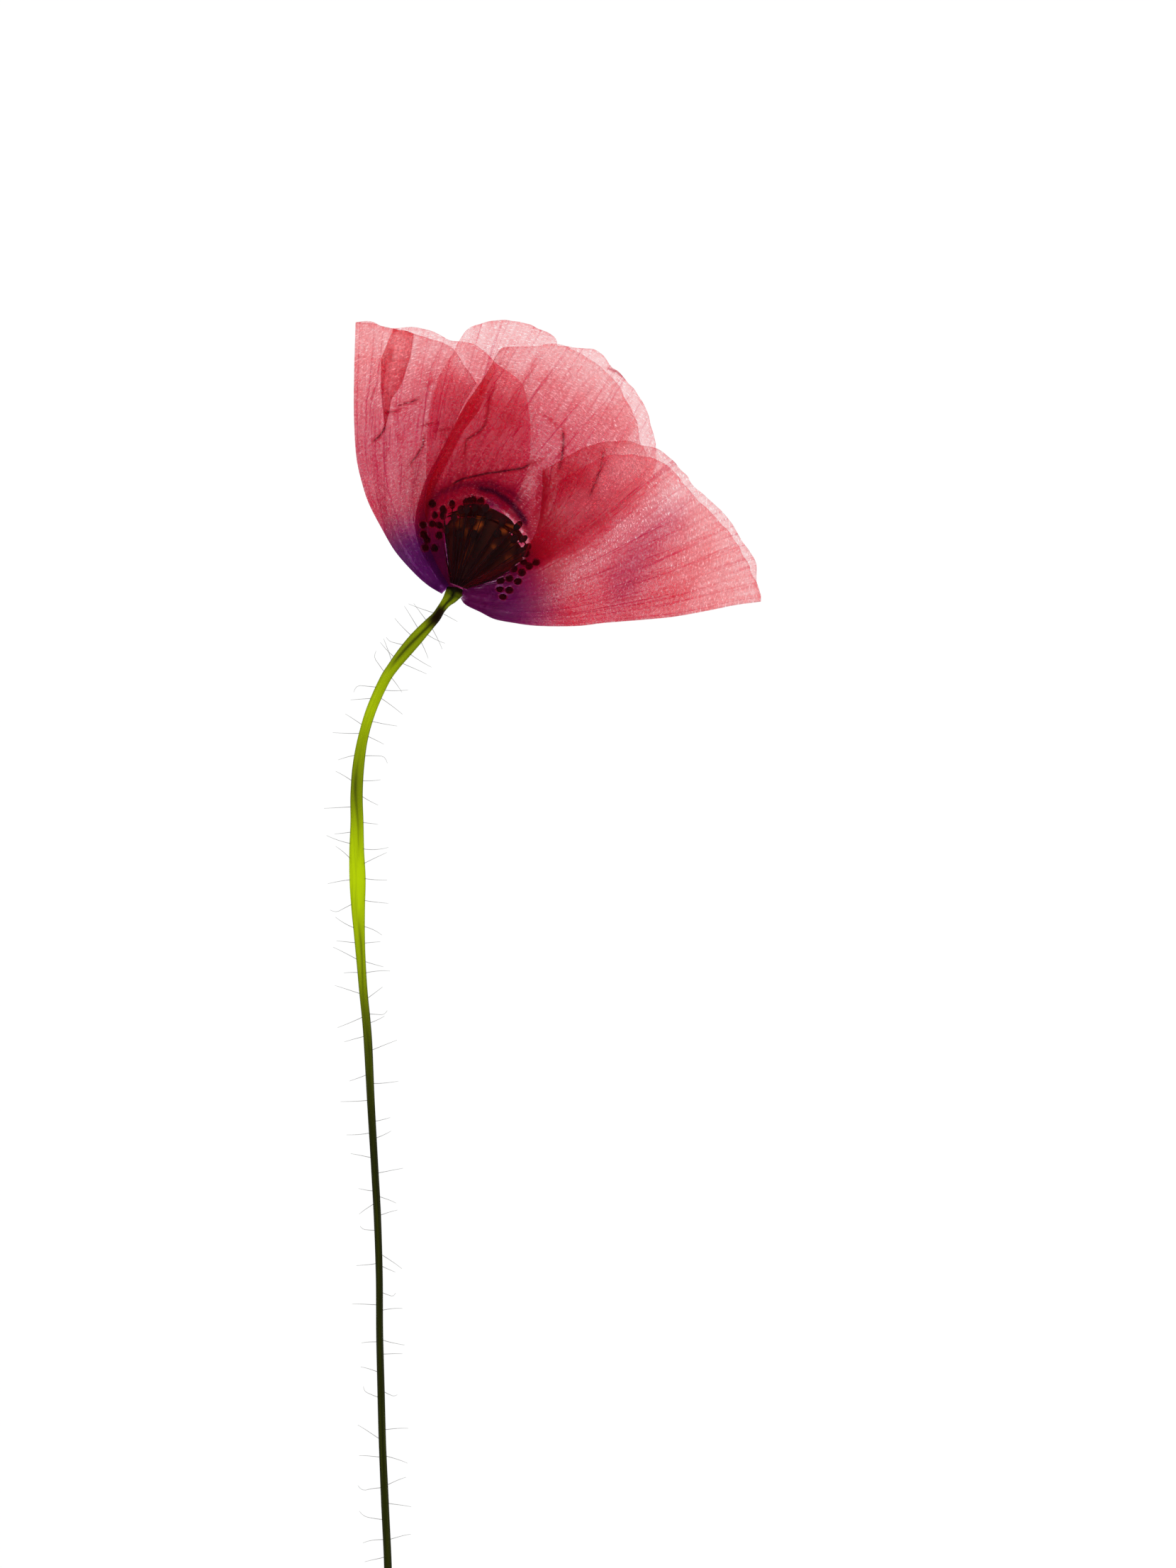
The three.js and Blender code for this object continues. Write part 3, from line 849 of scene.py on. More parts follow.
@dataclass
class Petal:
    """One petal, of one leaf or of two that meet in a fold at their near edges."""

    name: str
    node: str
    leaves: tuple[Leaf, ...]
    closes: bool = False
    columns: int = 120
    rows: int = 150
    thickness: float = 0.05
    pleat_rise: float = 0.09
    crease_rise: float = 0.07
    swell: tuple[float, float] = (0.015, 0.035)  # of the lowest layer and of those above it
    lift: float = 0.003  # how far it stays above the table
    fold_round: float = 0.2  # width over which two leaves part at their fold
    ragged: float = 0.22  # how far the margin is nibbled in
    bite: float = 3.0  # length of a nibble
    tall_foot: float = 1.5  # how much faster the violet ends along the pod than beside it
    violet_foot: tuple[float, float] = (16.5, 7.0)  # where the foot's violet starts and is full
    foot_depth: float = 0.8  # how much of its colour that violet takes
    violet_red: tuple[float, float] = (36.0, 20.0)  # where the violet that the red holds does so
    pollen: float = 0.7  # how deep pollen stains it behind the pod
    edge_dark: float = 0.12  # how much denser its last thin line is
    edge_pale: float = 0.06  # how much thinner the band just inside that line is
    stain_and_shade_cover: float = 0.975  # share of light that a full stain stops, and so does full painted shade in a crease
    pod_clear: float = 0.88  # share of light that the painted shade of an anther stops
    anther_shade_cover: float = 0.6  # share of light that a print of an anther stops
    fine_mark: float = 0.5  # marks finer than this are patchy
    sparkle: tuple[float, float] = (0.2, 0.7)  # how much it sparkles at its foot and outside
    calm: tuple[float, float] = (14.0, 8.0)  # where it sparkles fully and where only a little
    stretch: float = 1.2  # length of the crumpled sheet against the flat one, across
    seed: int = 1
    # Share of light that one layer stops, by millimetres from the heart: it bleaches outwards.
    cover: Points = (
        (0, 0.97), (6, 0.95), (8, 0.925), (10, 0.885), (12, 0.83), (16, 0.76), (19, 0.72), (22, 0.71),
        (25, 0.68), (27, 0.64), (29, 0.59), (31, 0.54), (34, 0.5), (40, 0.48), (46, 0.46),
    )  # fmt: skip
    press: Press = field(default_factory=Press)

    def _nibbled(self, leaf: Leaf, flat: Array, u: Array, rows: Array) -> Array:
        """Nibbles the margin of a leaf.

        Args:
            leaf: the leaf.
            flat: its places, as an array of column, row and coordinate.
            u: share from the near to the far edge.
            rows: share from foot to margin.

        Returns:
            The places with a ragged margin.
        """
        margin, inner = flat[:, -1], flat[:, -10]
        along = u[:, -1] * run_of(margin)[-1]
        bite = 0.5 + 0.5 * crumple(along, leaf.layer * 7.0, self.seed, self.bite)
        bite = bite * smooth(0, 0.06, u[:, -1]) * self.ragged
        return flat - unit(margin - inner)[:, None] * (bite[:, None] * smooth(0.9, 1, rows))[..., None]

    def _height(self, leaf: Leaf, flat: Array, u: Array, v: Array) -> Array:
        """Finds the height of a leaf's middle, closed on its partner near their fold.

        Args:
            leaf: the leaf.
            flat: its places, as an array of column, row and coordinate.
            u: share from the near to the far edge.
            v: share from foot to margin, one per row.

        Returns:
            The height of each column and row.
        """
        own = self.press.layer(leaf.layer, flat)
        lowest = min(one.layer for one in self.leaves)
        if not self.closes or leaf.layer == lowest:
            return own
        # Near the fold they lie on one another, except at the foot, where the contents part them.
        closed = (1 - smooth(0, 0.3, u)) * smooth(0.1, 0.35, v)[None]
        under = self.press.layer(lowest, flat) + self.press.fold_gap
        return own + (under - own) * closed

    def _dress(
        self, leaf: Leaf, flat: Array, u: Array, rows: Array, crease: Array, heart: Heart
    ) -> dict[str, Array]:
        """Works out one leaf's marks for the finish.

        Args:
            leaf: the leaf.
            flat: its places, as an array of column, row and coordinate.
            u: share from the near to the far edge.
            rows: share from foot to margin.
            crease: how sharply it is creased.
            heart: what shows through the petals in front of it.

        Returns:
            Arrays of column and row by name of the mark.
        """
        reach = reach_of(flat)
        cover = np.interp(reach, *np.array(self.cover).T)
        cover = cover + self.edge_dark * smooth(0.988, 1, rows) - self.edge_pale * smooth(0.88, 0.97, rows)
        # The middle stretch of the far edge thins out.
        cover = cover * (1 - leaf.fade * smooth(0.78, 1, u) * smooth(11, 20, reach) * smooth(33, 28, reach))
        # Creases are darkened with painted shade of the folded tissue, in one mark with the real stains.
        stain_and_shade = np.maximum(crease, strongest(leaf.stains, flat))
        # Pollen stains the petals behind the pod. Those in front are pressed clear against it, and take
        # painted shade where an anther lies beneath them.
        clear, anther_shaded = 0.0, 0.0
        if leaf.layer >= self.press.first_upper_layer:
            clear, anther_shaded = heart.clears(flat), heart.anther_shade(flat)
        else:
            stain_and_shade = np.maximum(stain_and_shade, self.pollen * self.press.stained(flat))
        cover = cover + (self.stain_and_shade_cover - cover) * np.clip(stain_and_shade, 0, 1) * 0.9
        cover = cover * (1 - self.pod_clear * clear)
        cover = cover + (self.anther_shade_cover - cover) * anther_shaded
        # Fine lines of tone come and go along their way.
        patchy = 0.6 + 0.5 * crumple(flat[..., 0], flat[..., 1], 77, 0.9)
        for mark in leaf.tones:
            cover = cover + mark.at(flat) * (patchy if mark.width < self.fine_mark else 1.0)
        # The violet feet are wide beside the pod and short behind its crown.
        along, across = on_axis(flat)
        foot = smooth(*self.violet_foot, np.hypot(self.tall_foot * along, across))
        violet = leaf.mauve * smooth(*self.violet_red, reach) + self.foot_depth * leaf.violet * foot
        violet = violet + sum(mark.at(flat) for mark in leaf.violet_marks)
        least, most = self.sparkle
        sparkle = most - (most - least) * smooth(*self.calm, reach)
        return {
            "cover": np.clip(cover, 0.02, 0.985),
            "stain_and_shade": np.clip(np.maximum(stain_and_shade * (1 - clear), anther_shaded), 0, 1),
            "violet": np.clip(violet * (1 - clear) * (1 - anther_shaded) * (1 - 0.8 * crease), 0, 1),
            "sparkle": np.clip(sparkle + sum(mark.at(flat) for mark in leaf.sparkles), 0, 1),
        }

    def _leaf_grid(self, leaf: Leaf, v: Array, heart: Heart) -> dict[str, Array]:
        """Works out one leaf's places, surface coordinates and marks.

        Args:
            leaf: the leaf.
            v: share from foot to margin, one per row.
            heart: what shows through the petals in front of it.

        Returns:
            Arrays of column and row by name.
        """
        u, passed = leaf.folded(self.columns, v)
        rows = v[None] * np.ones_like(u)
        flat = self._nibbled(leaf, leaf.places(u, v), u, rows)
        x, y = flat[..., 0], flat[..., 1]
        crease = strongest(leaf.creases, flat)
        height = self._height(leaf, flat, u, v) + passed * self.pleat_rise + crease * self.crease_rise
        swell = self.swell[min(leaf.layer, 1)] * crumple(x, y, self.seed * 10 + leaf.layer, 2.4)
        height = height + swell * smooth(3, 8, reach_of(flat))
        wide = np.linalg.norm(flat[-1, -1] - flat[0, -1])
        long = np.linalg.norm(flat[:, -1] - flat[:, 0], axis=-1)
        return {
            "x": x,
            "y": y,
            "z": np.maximum(height, self.thickness / 2 + self.lift),
            "u": np.linspace(0, 1, self.columns)[:, None] * np.ones_like(rows) * wide * self.stretch,
            "v": rows * long[:, None],
            "width": u * wide,
            **self._dress(leaf, flat, u, rows, crease, heart),
        }

    def build(self, material: Finish, heart: Heart) -> Piece:
        """Makes the petal as one thin sheet that runs through its fold.

        Args:
            material: the petal's tissue.
            heart: what shows through the petals in front of it.

        Returns:
            The petal.
        """
        v = np.linspace(0, 1, self.rows)
        grids = [self._leaf_grid(leaf, v, heart) for leaf in self.leaves]
        whole = grids[0]
        if len(grids) == 2:
            back, front = grids
            middle = (back["z"][0] + front["z"][0]) / 2
            for part in grids:
                nose = np.sqrt(np.clip(part["width"] / self.fold_round, 0, 1))
                nose[0] = 0
                part["z"] = middle[None] + (part["z"] - middle[None]) * nose
            back["u"] = -back["u"]
            whole = {key: np.vstack([back[key][::-1], front[key][1:]]) for key in back}
        columns = whole["x"].shape[0]
        vertices = to_row(np.stack([whole["x"], whole["y"], whole["z"]], -1).reshape(-1, 3))
        uv = np.stack([whole["u"], whole["v"]], -1).reshape(-1, 2)
        marks = {key: whole[key] for key in ("cover", "stain_and_shade", "violet", "sparkle")}
        piece = make_piece(self.name, vertices, grid_faces(columns, self.rows), material, uv, marks)
        skin = piece.modifiers.new("thickness", "SOLIDIFY")
        skin.thickness = self.thickness * MM
        skin.offset = 0.0
        return piece


# ---------------------------------------------------------------- the four petals

# Lines that more than one leaf follows, on the drawing grid.
LEFT_FOLD: Points = (
    (623, 837), (603, 825), (583, 807), (557, 777), (537, 743), (520, 710), (510, 680),
    (502, 643), (498.7, 587), (499, 520), (501, 453),
)  # fmt: skip
RIGHT_FOLD: Points = (
    (650, 844), (657, 853), (677, 863), (697, 873), (723, 878), (753, 882), (787, 883),
    (820, 882), (853, 878), (903, 874), (953, 869), (1003, 860), (1037, 853), (1074, 848),
)  # fmt: skip
POD_RING: Points = (
    (600, 760), (601, 722), (620, 697), (652, 686), (690, 684), (722, 697), (746, 722),
    (756, 745),
)  # fmt: skip
POD_RIM: Points = (
    (608, 742), (612, 727), (618, 719), (630, 711), (638, 705), (652, 701), (666, 698),
    (678, 700), (694, 708), (710, 720), (718, 730), (725, 740), (735, 748), (742, 758),
    (748, 770), (750, 782),
)  # fmt: skip
POD_SIDE: Points = ((744, 780), (736, 791), (721, 806), (698, 820), (679, 828), (660, 833))
POD_LEFT: Points = ((628, 733), (629, 750), (629, 768), (631, 790), (635, 812))
NOTCH: Points = ((685, 707), (696, 715), (706, 725))
# Light slips past the pod's rim on all layers, and past the stamens on its right.
RIM_LIGHT = (
    Mark(POD_RIM, 0.12, -0.34),
    Mark(POD_SIDE, 0.2, -0.5),
    Mark(POD_LEFT, 0.12, -0.3),
    Mark(NOTCH, 0.5, -0.06),
    Mark(((722, 738), (727, 743), (732, 749)), 0.3, -0.3),
    Mark(((740, 784), (733, 793), (726, 800)), 0.4, -0.35),
)
RIGHT_LIGHT = (
    Mark(((905, 632), (865, 668), (835, 690)), 2.6, -0.2),
    Mark(((762, 752), (798, 722), (840, 695)), 1.8, -0.12),
)
# The dark ring round the pod's crown is partly pollen stain and partly painted shade of the steep slopes
# where the petals are pressed round it.
DARK_RING = Mark(((652, 694), (676, 690), (700, 696), (722, 712), (738, 732), (752, 760)), 0.9, 1.0)
WEDGE: Points = ((766, 658), (763, 690), (759, 720), (755, 752))
STRIP_FOLD: Points = (
    (626, 827), (596, 780), (587, 735), (600, 683), (617, 647), (637, 607), (657, 570),
    (683, 533), (697, 508),
)  # fmt: skip


def outer_left() -> Petal:
    """Lays out the outer left petal, folded along its left edge.

    Returns:
        The petal.
    """
    back = Leaf(
        layer=0,
        feet=((622, 836), (634, 827)),
        low=((518, 788), (596, 749), (673, 766)),
        high=((493, 660), (618, 594), (744, 705)),
        margin=(
            (501, 453), (513, 451), (527, 453), (540, 457), (556, 459), (580, 458), (603, 462),
            (620, 468), (637, 478), (667, 482), (683, 492), (697, 508), (720, 523), (737, 540),
            (745, 570), (748, 600),
        ),
        near=LEFT_FOLD,
        far=((634, 827), (700, 745), (735, 685), (747, 645), (748, 600)),
        creases=(
            Mark(((724, 578), (714, 600), (703, 620)), 0.22, 0.62),
            Mark(((687, 507), (697, 498), (708, 493)), 0.2, 0.88),
        ),
        tones=RIM_LIGHT,
        stains=(DARK_RING,),
        mauve=0.24,
    )  # fmt: skip
    front = Leaf(
        layer=6,
        feet=((622, 836), (634, 827)),
        low=((518, 788), (557, 760), (600, 749)),
        high=((493, 660), (562, 627), (640, 649)),
        margin=(
            (501, 453), (513, 452), (527, 454), (540, 459), (556, 462), (583, 470), (610, 478),
            (630, 485), (641, 493), (657, 517), (673, 540),
        ),
        near=LEFT_FOLD,
        far=((634, 827), (606, 770), (602, 700), (625, 640), (650, 580), (673, 540)),
        pleat=(
            ((556, 461), (537, 507), (537, 553), (541, 587), (543, 603)),
            ((584, 475), (580, 503), (567, 543), (553, 563), (547, 593), (543, 603)),
        ),
        tones=(
            Mark(((568, 465), (560, 510), (552, 550), (544, 590)), 1.6, -0.16),
            Mark(((545, 650), (560, 695), (578, 738), (600, 780)), 1.6, -0.14),
            Mark(((562, 772), (592, 797), (620, 822)), 1.1, -0.1),
            Mark(((621, 838), (623, 832), (624, 826)), 0.3, -0.5),
            Mark(((622, 826), (608, 800), (596, 770), (590, 740)), 0.12, -0.3),
            Mark(((626, 822), (619, 800), (614, 780)), 0.12, -0.3),
            Mark(((606, 822), (584, 796), (566, 766), (552, 730)), 0.14, -0.25),
        ),
        mauve=0.3,
        creases=(
            Mark(((597, 560), (580, 568), (562, 572), (553, 569)), 0.25, 1.0),
            Mark(((571, 576), (558, 581), (539, 584)), 0.22, 0.95),
            Mark(((592, 602), (602, 599), (611, 597), (624, 598)), 0.22, 0.9),
            Mark(((612, 608), (628, 606), (646, 604)), 0.22, 0.85),
            Mark(((599, 606), (597, 628), (589, 643), (580, 655), (571, 663)), 0.24, 0.95),
            Mark(((545, 596), (541, 608), (534, 617), (521, 627)), 0.26, 1.0),
            Mark(((530, 545), (526, 556), (519, 567)), 0.2, 0.4),
            Mark(((616, 533), (608, 540), (598, 546)), 0.2, 0.45),
            Mark(((558, 610), (564, 618), (572, 624)), 0.2, 0.5),
            Mark(((551, 490), (552, 500), (550, 512)), 0.26, 0.45),
        ),
    )  # fmt: skip
    return Petal("left_petal", "petal_outer_left", (back, front), closes=True, seed=3)


def outer_right() -> Petal:
    """Lays out the outer right petal, folded along its lower edge.

    Returns:
        The petal.
    """
    # The pale band, where fewer layers lie, is painted light. The dull band, with the mauve tint it adds
    # below, is a painted shadow.
    pale = ((985, 668), (924, 712), (878, 749), (837, 787), (775, 850))
    dull = ((975, 700), (918, 762), (882, 816), (866, 866))
    bands = (
        Mark(pale, 1.9, -0.1),
        Mark(dull, 3.0, 0.07),
        Mark(((648, 834), (652, 842), (659, 850)), 0.35, -0.4),
        Mark(((656, 838), (680, 845), (715, 848)), 0.1, -0.15),
        Mark(((660, 850), (690, 860), (730, 866)), 0.1, -0.12),
        # A painted light band beside the pod's right.
        Mark(((905, 645), (860, 670), (812, 712), (778, 705)), 2.4, -0.18),
        Mark(((1005, 765), (965, 832), (930, 862)), 1.8, 0.06),
        Mark(((795, 785), (830, 762), (866, 730)), 1.5, 0.09),
        # Painted light where light slips past the pod's side.
        Mark(POD_SIDE, 0.22, -0.52),
    )
    bright = (Mark(pale, 1.9, 0.35),)
    mauve = (Mark(dull, 2.4, 0.16),)
    front = Leaf(
        layer=5,
        feet=((653, 847), (653, 828)),
        low=((707, 904), (740, 844), (729, 805)),
        high=((862, 886), (829, 749), (769, 738)),
        margin=(
            (1074, 848), (1074, 837), (1069, 820), (1068, 800), (1060, 780), (1047, 760),
            (1033, 737), (1017, 717), (997, 700), (977, 682), (970, 670), (953, 653),
            (937, 638), (925, 630), (907, 627), (890, 621), (870, 621), (855, 623), (830, 628),
            (805, 640), (780, 655), (765, 662),
        ),
        near=RIGHT_FOLD,
        far=((653, 828), (700, 802), (738, 780), (758, 747), (765, 700), (765, 662)),
        creases=(
            Mark(((855, 622), (851, 640), (847, 662), (837, 687), (826, 716)), 0.36, 0.95),
            Mark(((767, 664), (766, 690), (762, 720), (757, 752)), 0.75, 0.7),
        ),
        tones=bands,
        sparkles=bright,
        violet_marks=mauve,
        violet=0.82,
        mauve=0.18,
    )  # fmt: skip
    back = Leaf(
        layer=1,
        feet=((653, 847), (653, 828)),
        low=((707, 904), (740, 849), (740, 810)),
        high=((862, 886), (851, 794), (818, 749)),
        margin=(
            (1074, 848), (1072, 827), (1063, 811), (1057, 795), (1044, 772), (1028, 746),
            (1008, 724), (984, 702), (962, 675), (944, 657), (927, 646), (900, 639),
            (878, 639), (854, 642), (830, 652), (806, 665), (788, 678),
        ),
        near=RIGHT_FOLD,
        far=((653, 828), (705, 800), (750, 762), (778, 720), (788, 678)),
        violet=0.82,
        mauve=0.2,
        # A painted light band beside the pod, on this leaf only.
        tones=(*bands, Mark(((742, 772), (775, 742), (800, 712)), 2.6, -0.35)),
        sparkles=bright,
        violet_marks=mauve,
    )  # fmt: skip
    return Petal("right_petal", "petal_outer_right", (front, back), closes=True, seed=5)


def inner_back() -> Petal:
    """Lays out the inner back petal, whose pale lobes stand out at the top.

    Returns:
        The petal.
    """
    leaf = Leaf(
        layer=2,
        feet=((628, 828), (652, 831)),
        low=((579, 749), (673, 727), (773, 794)),
        high=((590, 616), (718, 594), (896, 727)),
        margin=(
            (617, 533), (630, 510), (641, 493), (645, 483), (657, 465), (670, 457), (687, 452),
            (713, 449.5), (730, 451), (747, 456), (763, 463), (782, 472), (787, 479), (788, 485),
            (800, 486), (817, 488), (837, 491), (853, 500), (863, 512), (867, 518), (883, 532),
            (900, 553), (913, 577), (920, 600), (925, 620), (927, 649),
        ),
        near=((628, 828), (606, 765), (601, 680), (604, 590), (617, 533)),
        far=((652, 831), (760, 800), (850, 755), (900, 712), (927, 649)),
        creases=(
            Mark(((853, 516), (870, 524), (880, 530), (887, 537)), 0.2, 0.88),
        ),
        tones=(
            *RIM_LIGHT,
            Mark(((656, 474), (690, 460), (730, 459), (776, 480)), 1.8, 0.08),
            Mark(((640, 498), (652, 520), (668, 545)), 0.9, -0.34),
            *RIGHT_LIGHT,
        ),
        mauve=0.24,
        stains=(
            Mark(POD_RING, 1.5, 0.8),
            DARK_RING,
            Mark(NOTCH, 0.6, 0.7),
            Mark(WEDGE, 0.7, 0.7),
        ),
        violet_marks=(Mark(NOTCH, 0.6, 0.5),),
        fade=0.5,
        violet=0.5,
    )  # fmt: skip
    return Petal("back_petal", "petal_inner_back", (leaf,), columns=210, rows=190, seed=7)


def inner_front() -> Petal:
    """Lays out the inner front petal, with its left edge turned back under it.

    Returns:
        The petal.
    """
    turned = Leaf(
        layer=3,
        feet=((626, 827), (633, 825)),
        low=((540, 744), (582, 738)),
        high=((623, 616), (647, 632)),
        margin=((697, 508), (700, 517)),
        near=STRIP_FOLD,
        far=((633, 825), (607, 780), (600, 735), (613, 690), (630, 657), (655, 607), (676, 578),
             (685, 553), (700, 517)),
        tones=(Mark(((697, 508), (657, 580), (617, 660), (592, 735), (600, 790)), 3.0, 0.14),),
        violet=0.5,
        mauve=0.12,
    )  # fmt: skip
    main = Leaf(
        layer=4,
        feet=((626, 827), (652, 830)),
        low=((540, 744), (673, 727), (762, 794)),
        high=((623, 616), (740, 616), (884, 727)),
        margin=(
            (697, 508), (702, 498), (708, 490), (723, 488), (757, 488), (770, 484), (787, 484),
            (803, 487), (823, 498), (843, 513), (860, 527), (873, 542), (883, 560), (893, 580),
            (900, 600), (903, 620), (912, 637), (913, 660),
        ),
        near=STRIP_FOLD,
        far=((652, 830), (760, 798), (845, 745), (887, 710), (913, 660)),
        creases=(
            Mark(((757, 584), (765, 584), (774, 589), (784, 599), (790, 606)), 0.2, 0.7),
            Mark(((793, 595), (795, 622), (793, 645), (785, 676)), 0.34, 1.0),
            Mark(((702, 536), (691, 556), (688, 583), (684, 600), (675, 610), (658, 621), (656, 640),
                  (653, 668)), 0.24, 0.95),
            Mark(((713, 490), (702, 499), (692, 507), (684, 514)), 0.18, 0.7),
            Mark(((728, 552), (713, 581), (706, 606), (700, 628)), 0.3, 0.45),
            Mark(((739, 562), (728, 588), (720, 606)), 0.7, 0.25),
            Mark(((754, 508), (748, 528), (741, 550)), 0.24, 0.4),
            Mark(((760, 494), (751, 514), (743, 534)), 0.2, 0.3),
            Mark(((815, 504), (799, 528), (788, 552)), 0.26, 0.25),
            Mark(((812, 554), (802, 584)), 0.26, 0.25),
            Mark(((774, 647), (753, 653), (737, 662), (703, 668), (687, 670), (653, 678),
                  (628, 691), (614, 699)), 0.32, 1.0),
            Mark(WEDGE, 0.7, 0.7),
        ),
        tones=(
            *RIM_LIGHT,
            Mark(((690, 508), (730, 498), (780, 500), (830, 525), (865, 570)), 3.4, -0.12),
            *RIGHT_LIGHT,
        ),
        stains=(Mark(POD_RING, 1.2, 0.85), DARK_RING),
        violet_marks=(Mark(NOTCH, 0.6, 0.5),),
        fade=0.5,
        violet=0.5,
        mauve=0.26,
    )  # fmt: skip
    return Petal("front_petal", "petal_inner_front", (turned, main), columns=110, rows=190, seed=9)


# ---------------------------------------------------------------- the flower's heart


@dataclass
class SeedPod:
    """The flattened seed pod with the scalloped disc on its crown."""

    start: float = 1.25
    end: float = 10.3
    radii: tuple[float, ...] = (1.0, 2.3, 3.4, 4.17, 4.77, 5.25, 5.4, 4.8)
    drift: tuple[float, ...] = (0.3, 0.85, 1.15, 1.27, 1.37, 1.37, 1.27, 1.1)  # of its middle, rightwards
    thickness: float = 0.29  # half of it where the radius is 1; it grows with the radius's root
    crown_bow: float = 0.075
    ribs: int = 11
    rib_depth: tuple[float, float] = (0.012, 0.07)  # shares of its width and of its height
    rings: int = 90
    evened: int = 7  # rings over which its outline is evened out
    points_per_rib: int = 16
    disc_along: float = 11.2
    disc_across: float = 5.2
    disc_depth: float = 0.62
    disc_reach: float = 1.0  # on the side that sits on the pod
    disc_thickness: float = 0.62
    rays: int = 11
    points_per_ray: int = 14
    lobe_depth: float = 0.07
    rim_round: float = 0.3
    glimpses: tuple[Mark, ...] = (
        Mark(((670, 731), (680, 727), (690, 721)), 0.32, 1.0),
        Mark(((668, 749), (675, 744), (682, 737)), 0.36, 1.0),
        Mark(((705, 752), (711, 749), (717, 751)), 0.36, 0.7),
        Mark(((719, 749), (726, 746), (732, 749)), 0.3, 0.8),
        Mark(((692, 770), (696, 772), (701, 774)), 0.3, 0.55),
        Mark(((718, 769), (724, 767), (730, 764)), 0.3, 0.4),
        Mark(((712, 789), (718, 788), (725, 786)), 0.35, 0.35),
        Mark(((648, 722), (647, 734), (646, 748)), 0.5, 0.35),
        Mark(((656, 745), (660, 753), (661, 764)), 0.45, 0.4),
        Mark(((645, 812), (651, 797), (659, 782), (668, 766)), 0.32, 0.3),
        Mark(((640, 823), (643, 816), (646, 809)), 0.26, 0.6),
        Mark(((698, 712), (690, 718), (686, 726)), 0.3, 0.3),
    )  # where light shows through the wall
    press: Press = field(default_factory=Press)

    def _read(self, sizes: tuple[float, ...], t: Array) -> Array:
        """Reads a row of sizes, spaced evenly from the pod's foot to its crown."""
        return np.interp(t, np.linspace(0, 1, len(sizes)), sizes)

    def gap(self, flat: Array) -> Array:
        """Says how far places lie outside the outline of pod and disc.

        Args:
            flat: the places.

        Returns:
            The distance in millimetres, below 0 inside.
        """
        along, across = on_axis(flat)
        t = np.clip((along - self.start) / (self.end - self.start), 0, 1)
        off = across - self._read(self.drift, t)
        half = np.maximum(self._read(self.radii, t), self.disc_across * smooth(0.8, 0.9, t))
        crown = along + self.crown_bow * off**2 - self.disc_along - self.disc_depth
        return np.maximum(np.maximum(np.abs(off) - half, crown), self.start - along)

    def build_wall(self, material: Finish) -> Piece:
        """Makes the pod's ribbed wall.

        Args:
            material: the wall's finish.

        Returns:
            The pod.
        """
        t = np.linspace(0, 1, self.rings)
        flat = ALONG[None] * (self.start + (self.end - self.start) * t)[:, None]
        path = np.c_[flat, self.press.halfway(flat)]
        angles = ring_angles(self.ribs * self.points_per_rib)
        even = np.ones(self.evened) / self.evened
        radius, drift = (
            np.convolve(np.pad(self._read(sizes, t), self.evened // 2, "edge"), even, "valid")[:, None]
            for sizes in (self.radii, self.drift)
        )
        wave = np.cos(angles * self.ribs)[None] * smooth(0.05, 0.4, t)[:, None]
        width = radius * np.cos(angles)[None] * (1 + self.rib_depth[0] * wave)
        high = self.thickness * np.sqrt(radius) * np.sin(angles)[None] * (1 + self.rib_depth[1] * wave)
        rings = swept(path, np.stack([width, high], -1), self.crown_bow * smooth(0.5, 1, t))
        vertices, faces = capped_tube(rings + np.append(ACROSS, 0.0) * drift[..., None])
        return self._dressed("pod", vertices, faces, material, 0.5 - 0.5 * wave)

    def build_disc(self, material: Finish) -> Piece:
        """Makes the disc on the crown, with a raised ray in each lobe.

        Args:
            material: the disc's finish.

        Returns:
            The disc.
        """
        angles = ring_angles(self.rays * self.points_per_ray)
        wave = np.cos(angles * self.rays)
        rings = []
        for level in np.linspace(-1, 1, 13):
            rim = (1 + self.lobe_depth * wave) * (1 - self.rim_round * abs(level) ** 2.5)
            across = self.disc_across * np.cos(angles) * rim
            depth = np.where(np.sin(angles) > 0, self.disc_reach, self.disc_depth)
            back = -depth * np.sin(angles) * rim - self.crown_bow * across**2
            flat = ALONG * (self.disc_along + back)[:, None] + ACROSS * (across + self.drift[-1])[:, None]
            rings.append(np.c_[flat, self.press.halfway(flat) + level * self.disc_thickness])
        vertices, faces = capped_tube(np.array(rings))
        rays = np.tile(0.4 * (0.5 - 0.5 * wave), (len(rings), 1))
        return self._dressed("crown_disc", vertices, faces, material, rays)

    def _dressed(
        self, name: str, vertices: Array, faces: Faces, material: Finish, rib: Array
    ) -> Piece:
        """Makes a piece of the pod with the marks that its finish reads.

        Args:
            name: name of the piece.
            vertices: its places, in millimetres from the heart.
            faces: its faces.
            material: its finish.
            rib: how rusty it is on its rings, without their end points.

        Returns:
            The piece.
        """
        glow = strongest(self.glimpses, vertices[:, :2])
        marks = {"rib": np.r_[rib.ravel(), 0, 0], "glow": glow}
        return make_piece(name, to_row(vertices), faces, material, marks=marks)


